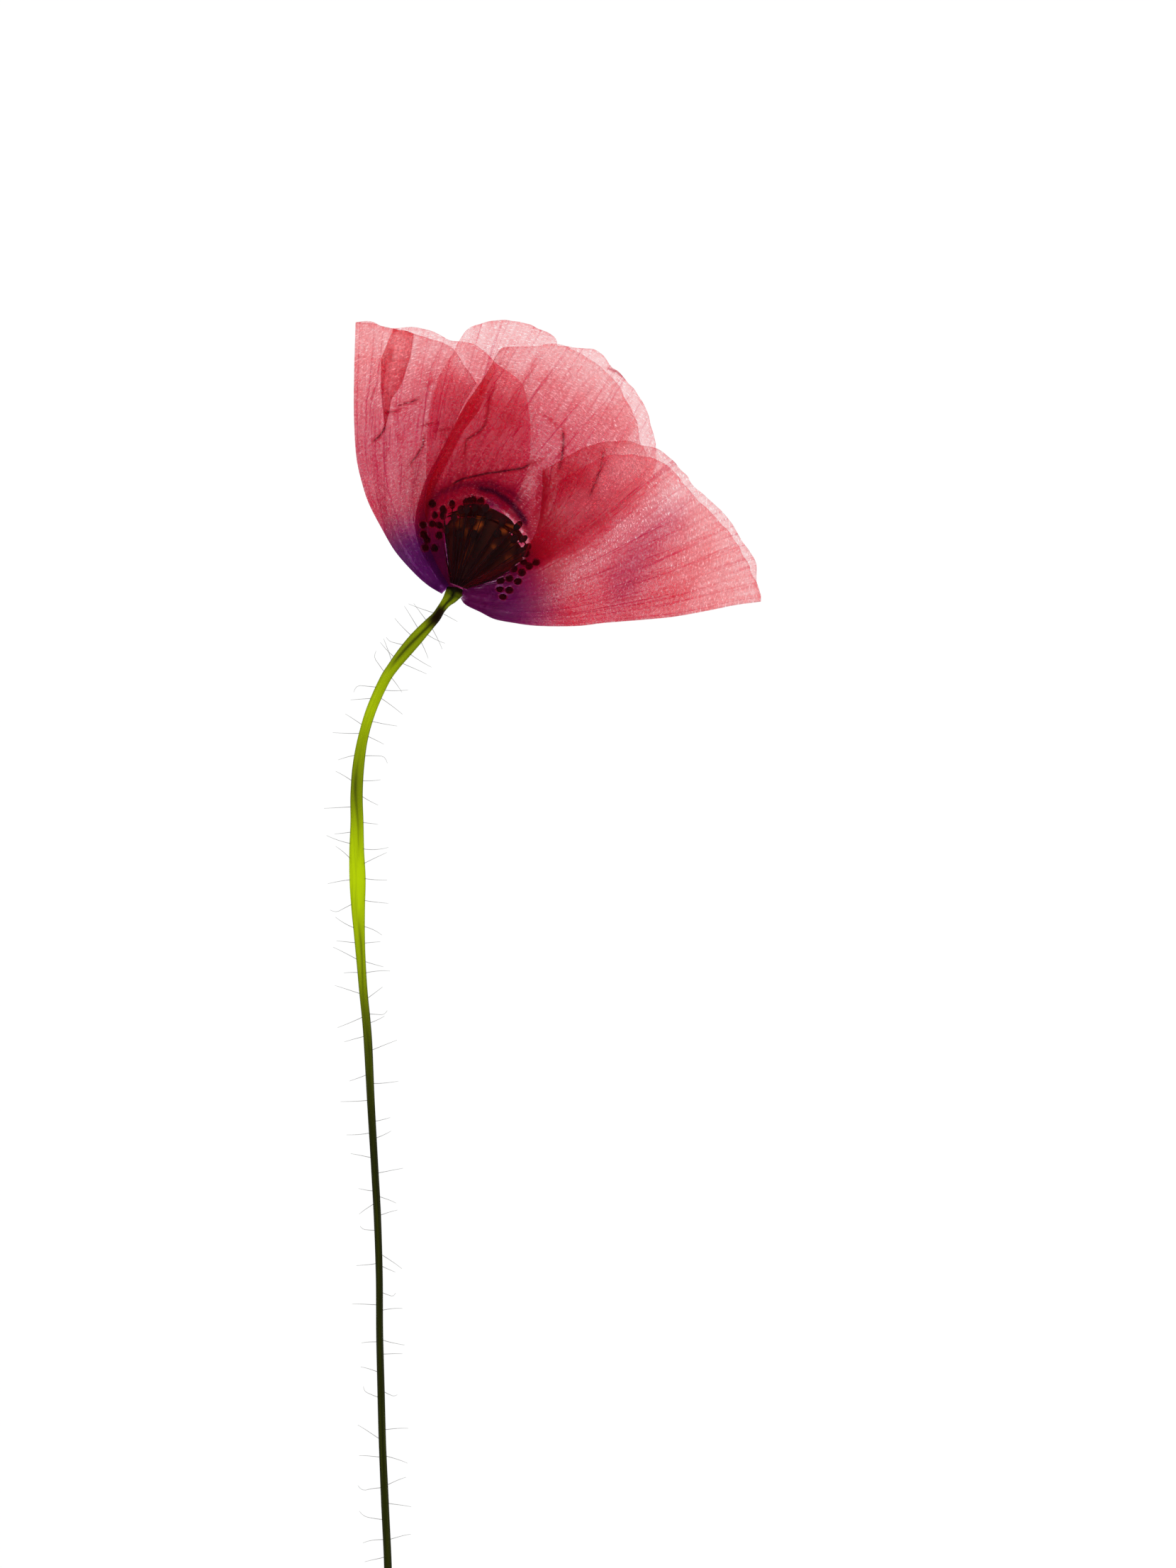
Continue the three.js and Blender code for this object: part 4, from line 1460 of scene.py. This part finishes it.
@dataclass
class Stamens:
    """The ring of stamens, pressed beside, behind and in front of the pod."""

    left: Points = (
        (-2.3, 5.7), (-3.5, 5.7), (-3.3, 6.7), (-3.7, 7.4), (-1.75, 7.3), (-3.8, 8.6),
        (-2.65, 8.8), (-1.75, 8.6), (-0.9, 8.1), (-2.35, 9.9), (-2.6, 11.3), (-1.3, 9.8),
        (-1.35, 10.7),
    )  # fmt: skip
    crown: Points = (
        (-0.2, 11.4), (0.15, 9.6), (1.6, 11.6), (1.7, 10.6), (2.5, 11.9), (2.7, 10.9),
        (3.5, 11.75), (4.1, 10.8), (4.75, 9.8), (6.2, 9.1), (6.7, 8.1),
    )  # fmt: skip
    right: Points = (
        (8.3, 8.65), (7.9, 7.4), (8.9, 6.9), (9.4, 5.9), (9.2, 5.0), (8.9, 4.0), (9.6, 3.4),
        (10.5, 3.9), (8.7, 2.6), (7.7, 3.1), (8.2, 1.5), (7.1, 1.9), (6.0, 1.6), (5.9, 0.6),
        (7.1, 0.4), (6.3, -0.4),
    )  # fmt: skip
    on_pod: Points = (
        (641, 731), (648, 755), (669, 755), (667, 737), (663, 709), (677, 711), (690, 728),
        (709, 739), (730, 744), (702, 754), (726, 762), (651, 720), (735, 778), (627, 722),
    )  # on the drawing grid  # fmt: skip
    on_pod_level: float = 2.3
    length: float = 1.15  # of an anther
    width: float = 0.84
    thickness: float = 0.4
    groove_depth: float = 0.4  # between an anther's two lobes
    groove_width: float = 0.28
    filament_radius: float = 0.075
    filament_rings: int = 16
    anther_rings: int = 17
    sides: int = 14
    foot_along: float = 1.2
    foot_spread: float = 3.0
    foot_level: float = 0.175
    levels: int = 8
    level_room: float = 0.48  # what a stamen itself takes up of the contents' thickness
    beside: tuple[int, ...] = (3, 6, 1, 4, 7, 0, 5, 2)
    passing: tuple[int, ...] = (7, 0, 6, 1)  # only the outer levels pass the pod
    pod_spread: float = 0.63
    press: Press = field(default_factory=Press)

    def gap(self, flat: Array) -> Array:
        """Says how far places lie outside the nearest anther; it is below 0 on an anther."""
        tips = np.vstack([self.left, self.crown, self.right, from_grid(self.on_pod)])
        return np.minimum.reduce([reach_of(flat - tip) for tip in tips]) - self.length / 2

    def in_order(self) -> list[tuple[str, float, Array]]:
        """Lists the stamens from left to right round the heart.

        Returns:
            The node's name, the angle and the anther's place of each.
        """
        groups = {"left": self.left, "crown": self.crown, "right": self.right}
        listed = [
            (f"stamen_{group}_{number:02d}", math.atan2(y, x), np.array([x, y]))
            for group, tips in groups.items()
            for number, (x, y) in enumerate(tips, start=1)
        ]
        return sorted(listed, key=lambda one: -one[1])

    def _path(self, share: float, level: float, tip: Array) -> Array:
        """Finds the line of one stamen from its foot to the end of its anther.

        Args:
            share: how far round the heart it stands, from 0 at the left to 1 at the right.
            level: how many levels it lies above the middle of the contents.
            tip: middle of its anther.

        Returns:
            Places in millimetres, one per row.
        """
        foot = ALONG * self.foot_along + ACROSS * self.foot_spread * (share - 0.5)
        t = np.linspace(0, 1, 9)
        flat = foot + (tip + unit(tip - foot) * self.length / 2 - foot) * t[:, None]
        room = self.press.contents(flat) - self.level_room
        start = level * self.foot_level
        rise = start + (level * room / (self.levels - 1) - start) * smooth(0, 0.5, t)
        return np.c_[flat, self.press.halfway(flat) + rise]

    def _solid(self, coarse: Array, size: float) -> tuple[Array, Faces, Array]:
        """Shapes one stamen: a thread with a grooved two-lobed anther.

        Args:
            coarse: its line from foot to tip.
            size: its anther's size against the usual one.

        Returns:
            Vertices, faces, and for each face 1 where it belongs to the anther.
        """
        angles = ring_angles(self.sides)
        neck = 1 - self.length / run_of(coarse)[-1]
        thread = np.linspace(0, neck, self.filament_rings, endpoint=False)
        t = np.r_[thread, np.linspace(neck, 1, self.anther_rings)]
        share = np.clip((t - neck) / (1 - neck), 0, 1)
        swell = np.where(share > 0, np.sin(np.pi * (0.04 + 0.92 * share)) ** 0.55, 0)
        thin = self.filament_radius * (1.1 - 0.3 * smooth(0, neck, t))
        groove = -self.groove_depth * np.exp(-((np.cos(angles) / self.groove_width) ** 2))
        lobed = 1 + groove[None] * (swell > 0.4)[:, None]
        wide, thick = (
            np.maximum(thin, swell * size * most / 2)[:, None] for most in (self.width, self.thickness)
        )
        section = np.stack([wide * np.cos(angles), thick * np.sin(angles) * lobed], -1)
        vertices, faces = capped_tube(swept(smooth_curve(coarse, t), section))
        rows = np.minimum(np.arange(len(faces)) // self.sides, len(t) - 1)
        rows[-2 * self.sides :] = np.tile([0, len(t) - 1], self.sides)
        return vertices, faces, (rows >= self.filament_rings).astype(np.int32)

    def build_all(self, filament: Finish, anther: Finish) -> list[tuple[str | None, Piece]]:
        """Makes every stamen, and the further ones that lie on the pod as one piece.

        Args:
            filament: finish of the threads.
            anther: finish of the anthers.

        Returns:
            The node's name, if it has one, and the piece of each.
        """
        rng = np.random.default_rng(11)
        listed = self.in_order()
        shaped: list[tuple[str | None, str, list[tuple[Array, Faces, Array]]]] = []
        for rank, (node, angle, tip) in enumerate(listed):
            order = self.passing if abs(angle - AXIS_TURN) < self.pod_spread else self.beside
            level = order[rank % len(order)] - (self.levels - 1) / 2
            line = self._path(rank / (len(listed) - 1), level, tip)
            shaped.append((node, f"{node}_detail", [self._solid(line, rng.uniform(0.9, 1.15))]))
        parts = []
        for tip in from_grid(self.on_pod):
            share = np.clip(0.5 + (AXIS_TURN - math.atan2(tip[1], tip[0])) * 0.6, 0, 1)
            line = self._path(share, self.on_pod_level, tip)
            parts.append(self._solid(line, rng.uniform(0.95, 1.25)))
        shaped.append((None, "stamens_on_pod", parts))
        made: list[tuple[str | None, Piece]] = []
        for node, name, solids in shaped:
            vertices, faces = joined([solid[:2] for solid in solids])
            piece = make_piece(name, to_row(vertices), faces, filament)
            piece.data.materials.append(anther)
            kinds = np.concatenate([solid[2] for solid in solids])
            piece.data.polygons.foreach_set("material_index", kinds)
            made.append((node, piece))
        return made


@dataclass
class Heart:
    """Pod and stamens together, as they show through the petals in front of them."""

    pod: SeedPod = field(default_factory=SeedPod)
    stamens: Stamens = field(default_factory=Stamens)
    rim: float = 0.36  # how far round them a petal is still pressed clear

    def clears(self, flat: Array) -> Array:
        """Says where the pod presses the petals in front of it thin and clear, from 0 to 1."""
        return smooth(self.rim, self.rim / 4, self.pod.gap(flat))

    def anther_shade(self, flat: Array) -> Array:
        """Says where the petals in front take painted shade of the anthers beside the pod, from 0 to 1."""
        anther = smooth(self.rim / 5, -self.rim / 3, self.stamens.gap(flat))
        return anther * (1 - self.clears(flat))


@dataclass
class Stalk:
    """The flattened stalk with its receptacle and bristles."""

    line: tuple[tuple[float, float, float], ...] = (
        (547.5, 2279, 11.5), (546.5, 2205, 11), (542.5, 2120, 11), (539, 2040, 10.5),
        (537, 1960, 10.5), (535, 1880, 10), (534.5, 1800, 10), (532, 1720, 10.5),
        (527.5, 1640, 10.5), (523, 1560, 11), (519, 1480, 12), (516, 1440, 12), (512, 1400, 12),
        (509, 1360, 13), (506.5, 1320, 15.5), (504.5, 1280, 19.5), (503.5, 1240, 23),
        (502.5, 1200, 21), (503, 1160, 18.5), (502.5, 1120, 17.5), (505, 1080, 16.5),
        (511.5, 1040, 14.5), (523.5, 1000, 14.5), (541.5, 960, 15), (554.5, 940, 16),
        (570, 920, 18.5), (587, 900, 19), (605.5, 880, 16), (615, 870, 14), (621.5, 860, 12.5),
        (629, 850, 14.5), (635, 843, 20), (640, 836, 24),
    )  # column, row and flattened width of the stalk, in grid steps, from the cut end up  # fmt: skip
    dusk: Points = (
        (2279, 0.9), (1900, 0.94), (1640, 0.96), (1560, 0.84), (1480, 0.72), (1430, 0.5),
        (1390, 0.32), (1340, 0.16), (1290, 0.05), (1240, -0.08), (1180, 0.04), (1130, 0.3),
        (1100, 0.38), (1060, 0.28), (1000, 0.08), (950, 0.2), (915, 0.3), (885, 0.26),
        (850, 0.2), (836, 0.25),
    )  # how olive it is, by grid row  # fmt: skip
    core: Points = (
        (1500, 0.0), (1420, 0.3), (1330, 0.45), (1290, 0.15), (1230, 0.1), (1180, 0.35),
        (1110, 0.5), (1070, 0.05), (950, 0.0), (930, 0.6), (885, 0.75), (870, 0.5),
        (855, 0.9), (835, 1.1),
    )  # how much more olive its winding core is, by grid row  # fmt: skip
    core_width: float = 0.24  # as a share of half its width, and so is the sway
    core_sway: float = 0.25
    core_wave: float = 26.0  # grid rows for each radian of the sway
    edge_dusk: float = 0.45  # how much more olive its two edges are
    bruised: tuple[float, float, float, float] = (852, 860, 872, 886)  # grid rows of the brown neck
    cut: float = 1.0  # thickness at the cut end
    pressed: float = 0.62  # thickness where it is pressed flat
    neck: float = 1.1  # thickness below the flower
    lift: float = 0.003  # how far it stays above the table
    ridges: int = 7
    rib: float = 0.035
    twist: float = 45.0  # phase that its ridges run through from end to end
    rings: int = 420
    sides: int = 40
    cup_along: tuple[float, float] = (-0.35, 0.95)  # ends of the receptacle on the pod's axis
    cup_radius: float = 1.15
    cup_thickness: float = 0.66
    cup_ridges: int = 9
    cup_rib: float = 0.03
    bristle_length: tuple[float, float] = (1.8, 3.5)
    bristle_radius: float = 0.045
    bare_ends: tuple[float, float] = (3.0, 2.5)  # without bristles
    press: Press = field(default_factory=Press)

    def _middle(self, t: Array) -> tuple[Array, Array, Array, Array]:
        """Finds the stalk's middle and size along its length.

        Args:
            t: share of its length from the cut end.

        Returns:
            Its places, flattened widths, thicknesses and rows on the drawing grid.
        """
        table = np.array(self.line)
        read = smooth_curve(np.c_[from_grid(table[:, :2]), table[:, 2] * GRID_STEP], t)
        rows = HEART_ON_GRID[1] - read[:, 1] / GRID_STEP
        thick = self.cut + (self.pressed - self.cut) * smooth(0.45, 0.65, t)
        thick = thick + (self.neck - thick) * smooth(0.94, 1, t)
        low = thick / 2 * (1 + self.rib) + self.lift
        height = low + (self.press.halfway(np.zeros(2)) - low) * smooth(0.93, 0.995, t)
        return np.c_[read[:, :2], height], read[:, 2], thick, rows

    def build_skin(self, material: Finish) -> Piece:
        """Makes the ribbed, slowly twisting skin.

        Args:
            material: the stalk's finish.

        Returns:
            The stalk.
        """
        t = np.linspace(0, 1, self.rings)
        path, width, thick, rows = self._middle(t)
        angles = ring_angles(self.sides)
        rib = 1 + self.rib * np.cos(angles[None] * self.ridges + self.twist * t[:, None])
        wide = width[:, None] / 2 * np.cos(angles) * np.sqrt(rib)
        high = thick[:, None] / 2 * np.sin(angles) * rib
        vertices, faces = capped_tube(swept(path, np.stack([wide, high], -1)))
        dusk, core = (np.interp(rows, *np.array(by_row)[::-1].T) for by_row in (self.dusk, self.core))
        off = np.cos(angles)[None] - self.core_sway * np.sin(rows / self.core_wave)[:, None]
        dusk = dusk[:, None] + self.edge_dusk * np.abs(np.cos(angles)) ** 8
        dusk = dusk + np.exp(-((off / self.core_width) ** 2)) * core[:, None]
        first, full, fading, last = self.bruised
        bruise = (smooth(first, full, rows) * smooth(last, fading, rows))[:, None]
        bruise = bruise * (0.35 + 0.65 * smooth(-0.95, -0.3, np.cos(angles)))
        marks = {
            "dusk": np.r_[dusk.ravel(), dusk[0].mean(), dusk[-1].mean()],
            "bruise": np.r_[bruise.ravel(), 0, 0],
        }
        across = width[:, None] * (angles / (2 * math.pi) * 2.2)[None]
        along = (t * run_of(path)[-1])[:, None] * np.ones(self.sides)
        uv = np.stack([across, along], -1).reshape(-1, 2)
        uv = np.vstack([uv, uv[:1], uv[-1:]])
        return make_piece("stalk_skin", to_row(vertices), faces, material, uv, marks)

    def build_receptacle(self, material: Finish) -> Piece:
        """Makes the swollen end of the stalk that carries the flower.

        Args:
            material: the stalk's finish.

        Returns:
            The receptacle.
        """
        t = np.linspace(0, 1, 24)
        flat = ALONG[None] * np.linspace(*self.cup_along, len(t))[:, None]
        path = np.c_[flat, self.press.halfway(flat)]
        angles = ring_angles(48)
        radius = self.cup_radius * np.sqrt(0.42 + 0.58 * np.sin(np.pi * (0.12 + 0.6 * t)) ** 2)
        radius = radius * (1 - 0.25 * np.abs(2 * t - 1) ** 8)
        thick = self.cup_thickness * (0.8 + 0.2 * t)
        rib = 1 + self.cup_rib * np.cos(angles * self.cup_ridges)
        section = [radius[:, None] * np.cos(angles) * rib, thick[:, None] * np.sin(angles) * rib]
        vertices, faces = capped_tube(swept(path, np.stack(section, -1)))
        # It is brown towards the flower and has a dark line down its middle.
        middle = np.exp(-(((np.cos(angles)[None] + 0.1) / 0.22) ** 2))
        shade = 0.2 + 0.75 * smooth(0.3, 0.7, t)[:, None] + 0.9 * middle
        brown = np.repeat(0.8 * smooth(0.35, 0.8, t), len(angles))
        marks = {"dusk": np.r_[shade.ravel(), 0.2, 1.0], "bruise": np.r_[brown, 0, 0.8]}
        uv = np.c_[np.tile(angles, len(t)) * 0.8, np.repeat(t, len(angles))]
        uv = np.vstack([uv, uv[:1], uv[-1:]])
        return make_piece("receptacle_cup", to_row(vertices), faces, material, uv, marks)

    def _bristle(
        self, rng: np.random.Generator, root: Array, out: Array, width: float
    ) -> tuple[Array, Faces]:
        """Grows one bristle, a little bent and now and then hooked.

        Args:
            rng: where its chances come from.
            root: place in the stalk's middle from which it grows.
            out: direction away from the stalk, flat and of length 1.
            width: the stalk's width here.

        Returns:
            Vertices and faces of the bristle.
        """
        turn = rng.normal(0, 0.3)
        length = rng.uniform(*self.bristle_length)
        hook = rng.choice([0.0, 1.0, -1.0], p=[0.84, 0.08, 0.08]) * rng.uniform(0.6, 1.8)
        sway = rng.normal(0, 0.16)
        s = np.linspace(0, 1, 9)
        heading = math.atan2(out[1], out[0]) + turn + sway * s + hook * smooth(0.6, 1, s)
        steps = np.c_[np.cos(heading), np.sin(heading)] * length / (len(s) - 1)
        grown = np.cumsum(steps, axis=0) - steps[:1]
        flat = root[:2] + out * width * 0.42 + grown
        high = root[2] * (1 - smooth(0, 0.8, s)) + 0.07 + rng.uniform(0, 0.25) * s
        thin = self.bristle_radius * (1 - 0.6 * s)
        angles = ring_angles(5)
        section = thin[:, None, None] * np.stack([np.cos(angles), np.sin(angles)], -1)[None]
        return capped_tube(swept(np.c_[flat, high], section))

    def build_bristles(self, material: Finish) -> Piece:
        """Makes the sparse bristles, all as one piece.

        Args:
            material: the bristles' finish.

        Returns:
            The bristles.
        """
        rng = np.random.default_rng(23)
        path, width, _, rows = self._middle(np.linspace(0, 1, 1200))
        ahead = unit(np.gradient(path[:, :2], axis=0))
        run = run_of(path)
        grown = []
        for side in (-1, 1):
            at = self.bare_ends[0]
            while at < run[-1] - self.bare_ends[1]:
                i = int(np.searchsorted(run, at))
                # They stand closer together towards the flower.
                spacing = 3.4 if rows[i] > 1500 else 2.3 if rows[i] > 1000 else 1.5
                at += spacing * rng.uniform(0.4, 1.6)
                out = np.array([ahead[i, 1], -ahead[i, 0]]) * side
                grown.append(self._bristle(rng, path[i], out, width[i]))
        vertices, faces = joined(grown)
        return make_piece("stalk_bristles", to_row(vertices), faces, material)


# ---------------------------------------------------------------- the studio


@dataclass
class Studio:
    """A pale glowing table, soft light from above and a camera that looks straight down."""

    lens: float = 100.0
    sensor: float = 36.0
    clip: tuple[float, float] = (0.01, 20.0)  # metres
    table_size: float = 4.0  # metres
    table_grey: str = "202020"
    below: float = 0.01  # how far the table lies below the flower
    glow: float = 1.0
    bloom_height: float = 1.5  # the level that is in true scale, in millimetres
    # Name, place in metres, size in metres and power in watts of each lamp.
    lamps: tuple[tuple[str, tuple[float, float, float], float, float], ...] = (
        ("key", (-0.35, 0.35, 0.75), 0.6, 1.0),
        ("fill", (0.6, -0.3, 0.6), 0.7, 0.4),
    )
    horizon: tuple[float, float] = (0.05, 0.85)  # height and strength where the dome is bright
    zenith: tuple[float, float] = (0.5, 0.12)  # the same where it has become dim
    layers: int = 64  # see-through faces that light can pass

    def build_camera(self) -> Piece:
        """Makes the camera so that it takes in the whole view at true scale.

        Returns:
            The camera.
        """
        centre = from_grid(np.array(VIEW) / 2)
        away = VIEW[1] * GRID_STEP * self.lens / self.sensor + self.bloom_height
        data = bpy.data.cameras.new("camera")
        data.lens = self.lens
        data.sensor_width = self.sensor
        data.clip_start, data.clip_end = self.clip
        camera = bpy.data.objects.new("camera", data)
        camera.location = Vector(to_row(np.append(centre, away)))
        bpy.context.scene.collection.objects.link(camera)
        bpy.context.scene.camera = camera
        return camera

    def build_table(self) -> Piece:
        """Makes the table: a matte white sheet, lit evenly from within.

        Returns:
            The table.
        """
        # Opal acrylic, cast and matted: it glows evenly and shows no lamps.
        material, tree, output = new_material("opal_acrylic_table")
        sheet = {
            "Base Color": linear(self.table_grey),
            "Roughness": 0.6,
            "Emission Color": WHITE,
            "Emission Strength": self.glow,
        }
        face = add_node(tree, "ShaderNodeBsdfPrincipled", sheet).outputs[0]
        tree.links.new(face, output.inputs["Surface"])
        if hasattr(material, "cycles"):
            # It fills half of all directions, so light is found faster by chance than by aiming.
            material.cycles.emission_sampling = "NONE"
        half = self.table_size / 2
        corners = np.array([(-half, -half), (half, -half), (half, half), (-half, half)])
        vertices = np.c_[corners, np.full(4, -self.below * MM)]
        table = make_piece("table", vertices, [(0, 1, 2, 3)], material)
        return table

    def build_light(self) -> None:
        """Makes two large soft lamps and a dome that is bright near the horizon."""
        scene = bpy.context.scene
        for name, place, size, power in self.lamps:
            data = bpy.data.lights.new(name, "AREA")
            data.energy, data.size = power, size
            lamp = bpy.data.objects.new(name, data)
            lamp.location = place
            lamp.rotation_euler = (-Vector(place)).to_track_quat("-Z", "Y").to_euler()
            scene.collection.objects.link(lamp)
        scene.world = bpy.data.worlds.new("dome")
        scene.world.use_nodes = True
        tree = scene.world.node_tree
        tree.nodes.clear()
        (low, bright), (high, dim) = self.horizon, self.zenith
        place = add_node(tree, "ShaderNodeTexCoord").outputs["Generated"]
        rise = add_node(tree, "ShaderNodeSeparateXYZ", {0: place}).outputs["Z"]
        wanted = {"Value": rise, "From Min": low, "From Max": high, "To Min": bright, "To Max": dim}
        strength = add_node(tree, "ShaderNodeMapRange", wanted).outputs["Result"]
        wanted = {"Color": WHITE, "Strength": strength}
        back = add_node(tree, "ShaderNodeBackground", wanted).outputs[0]
        output = add_node(tree, "ShaderNodeOutputWorld")
        tree.links.new(back, output.inputs["Surface"])

    def set_film(self) -> None:
        """Keeps the table plain white, and lets light pass every layer of petals."""
        scene = bpy.context.scene
        scene.view_settings.view_transform = "Standard"
        if hasattr(scene, "cycles"):
            scene.cycles.transparent_max_bounces = self.layers


# ---------------------------------------------------------------- the whole flower


def build_flower() -> None:
    """Builds and dresses every piece of the flower."""
    heart = Heart()
    tissue = DriedPetal().material()
    for petal in (outer_left(), outer_right(), inner_back(), inner_front()):
        settle(petal.build(tissue, heart), Slot.PETAL, petal.node)

    settle(heart.pod.build_wall(DriedPod().material()), Slot.POD, "seed_pod")
    # The disc's velvety rays are the same tissue, finer and darker.
    papillae = DriedPod("stigma_papillae", rust="30140C", blotch=0.8, fibre=0.2).material()
    settle(heart.pod.build_disc(papillae), Slot.DISC, "stigmatic_disc")

    thread = DarkTissue("filament_thread", "0C0408", "1C0A16", 0.4, roughness=0.9).material()
    mealy = DarkTissue("pollen_mealy_anther", "030202", "120A0A", 0.12).material()
    for node, piece in heart.stamens.build_all(thread, mealy):
        settle(piece, Slot.STAMEN, *filter(None, [node]))

    stalk = Stalk()
    skin = DriedStalk().material()
    settle(stalk.build_skin(skin), Slot.STALK, "stalk")
    settle(stalk.build_receptacle(skin), Slot.STALK, "receptacle")
    settle(stalk.build_bristles(StalkHair().material()), Slot.STALK)


def main() -> None:
    """Loads the frame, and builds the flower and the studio."""
    logging.basicConfig(level=logging.INFO, format="%(name)s %(message)s")
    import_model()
    build_flower()
    studio = Studio()
    studio.build_camera()
    studio.build_table()
    studio.build_light()
    studio.set_film()
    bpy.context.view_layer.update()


if __name__ == "__main__":
    main()
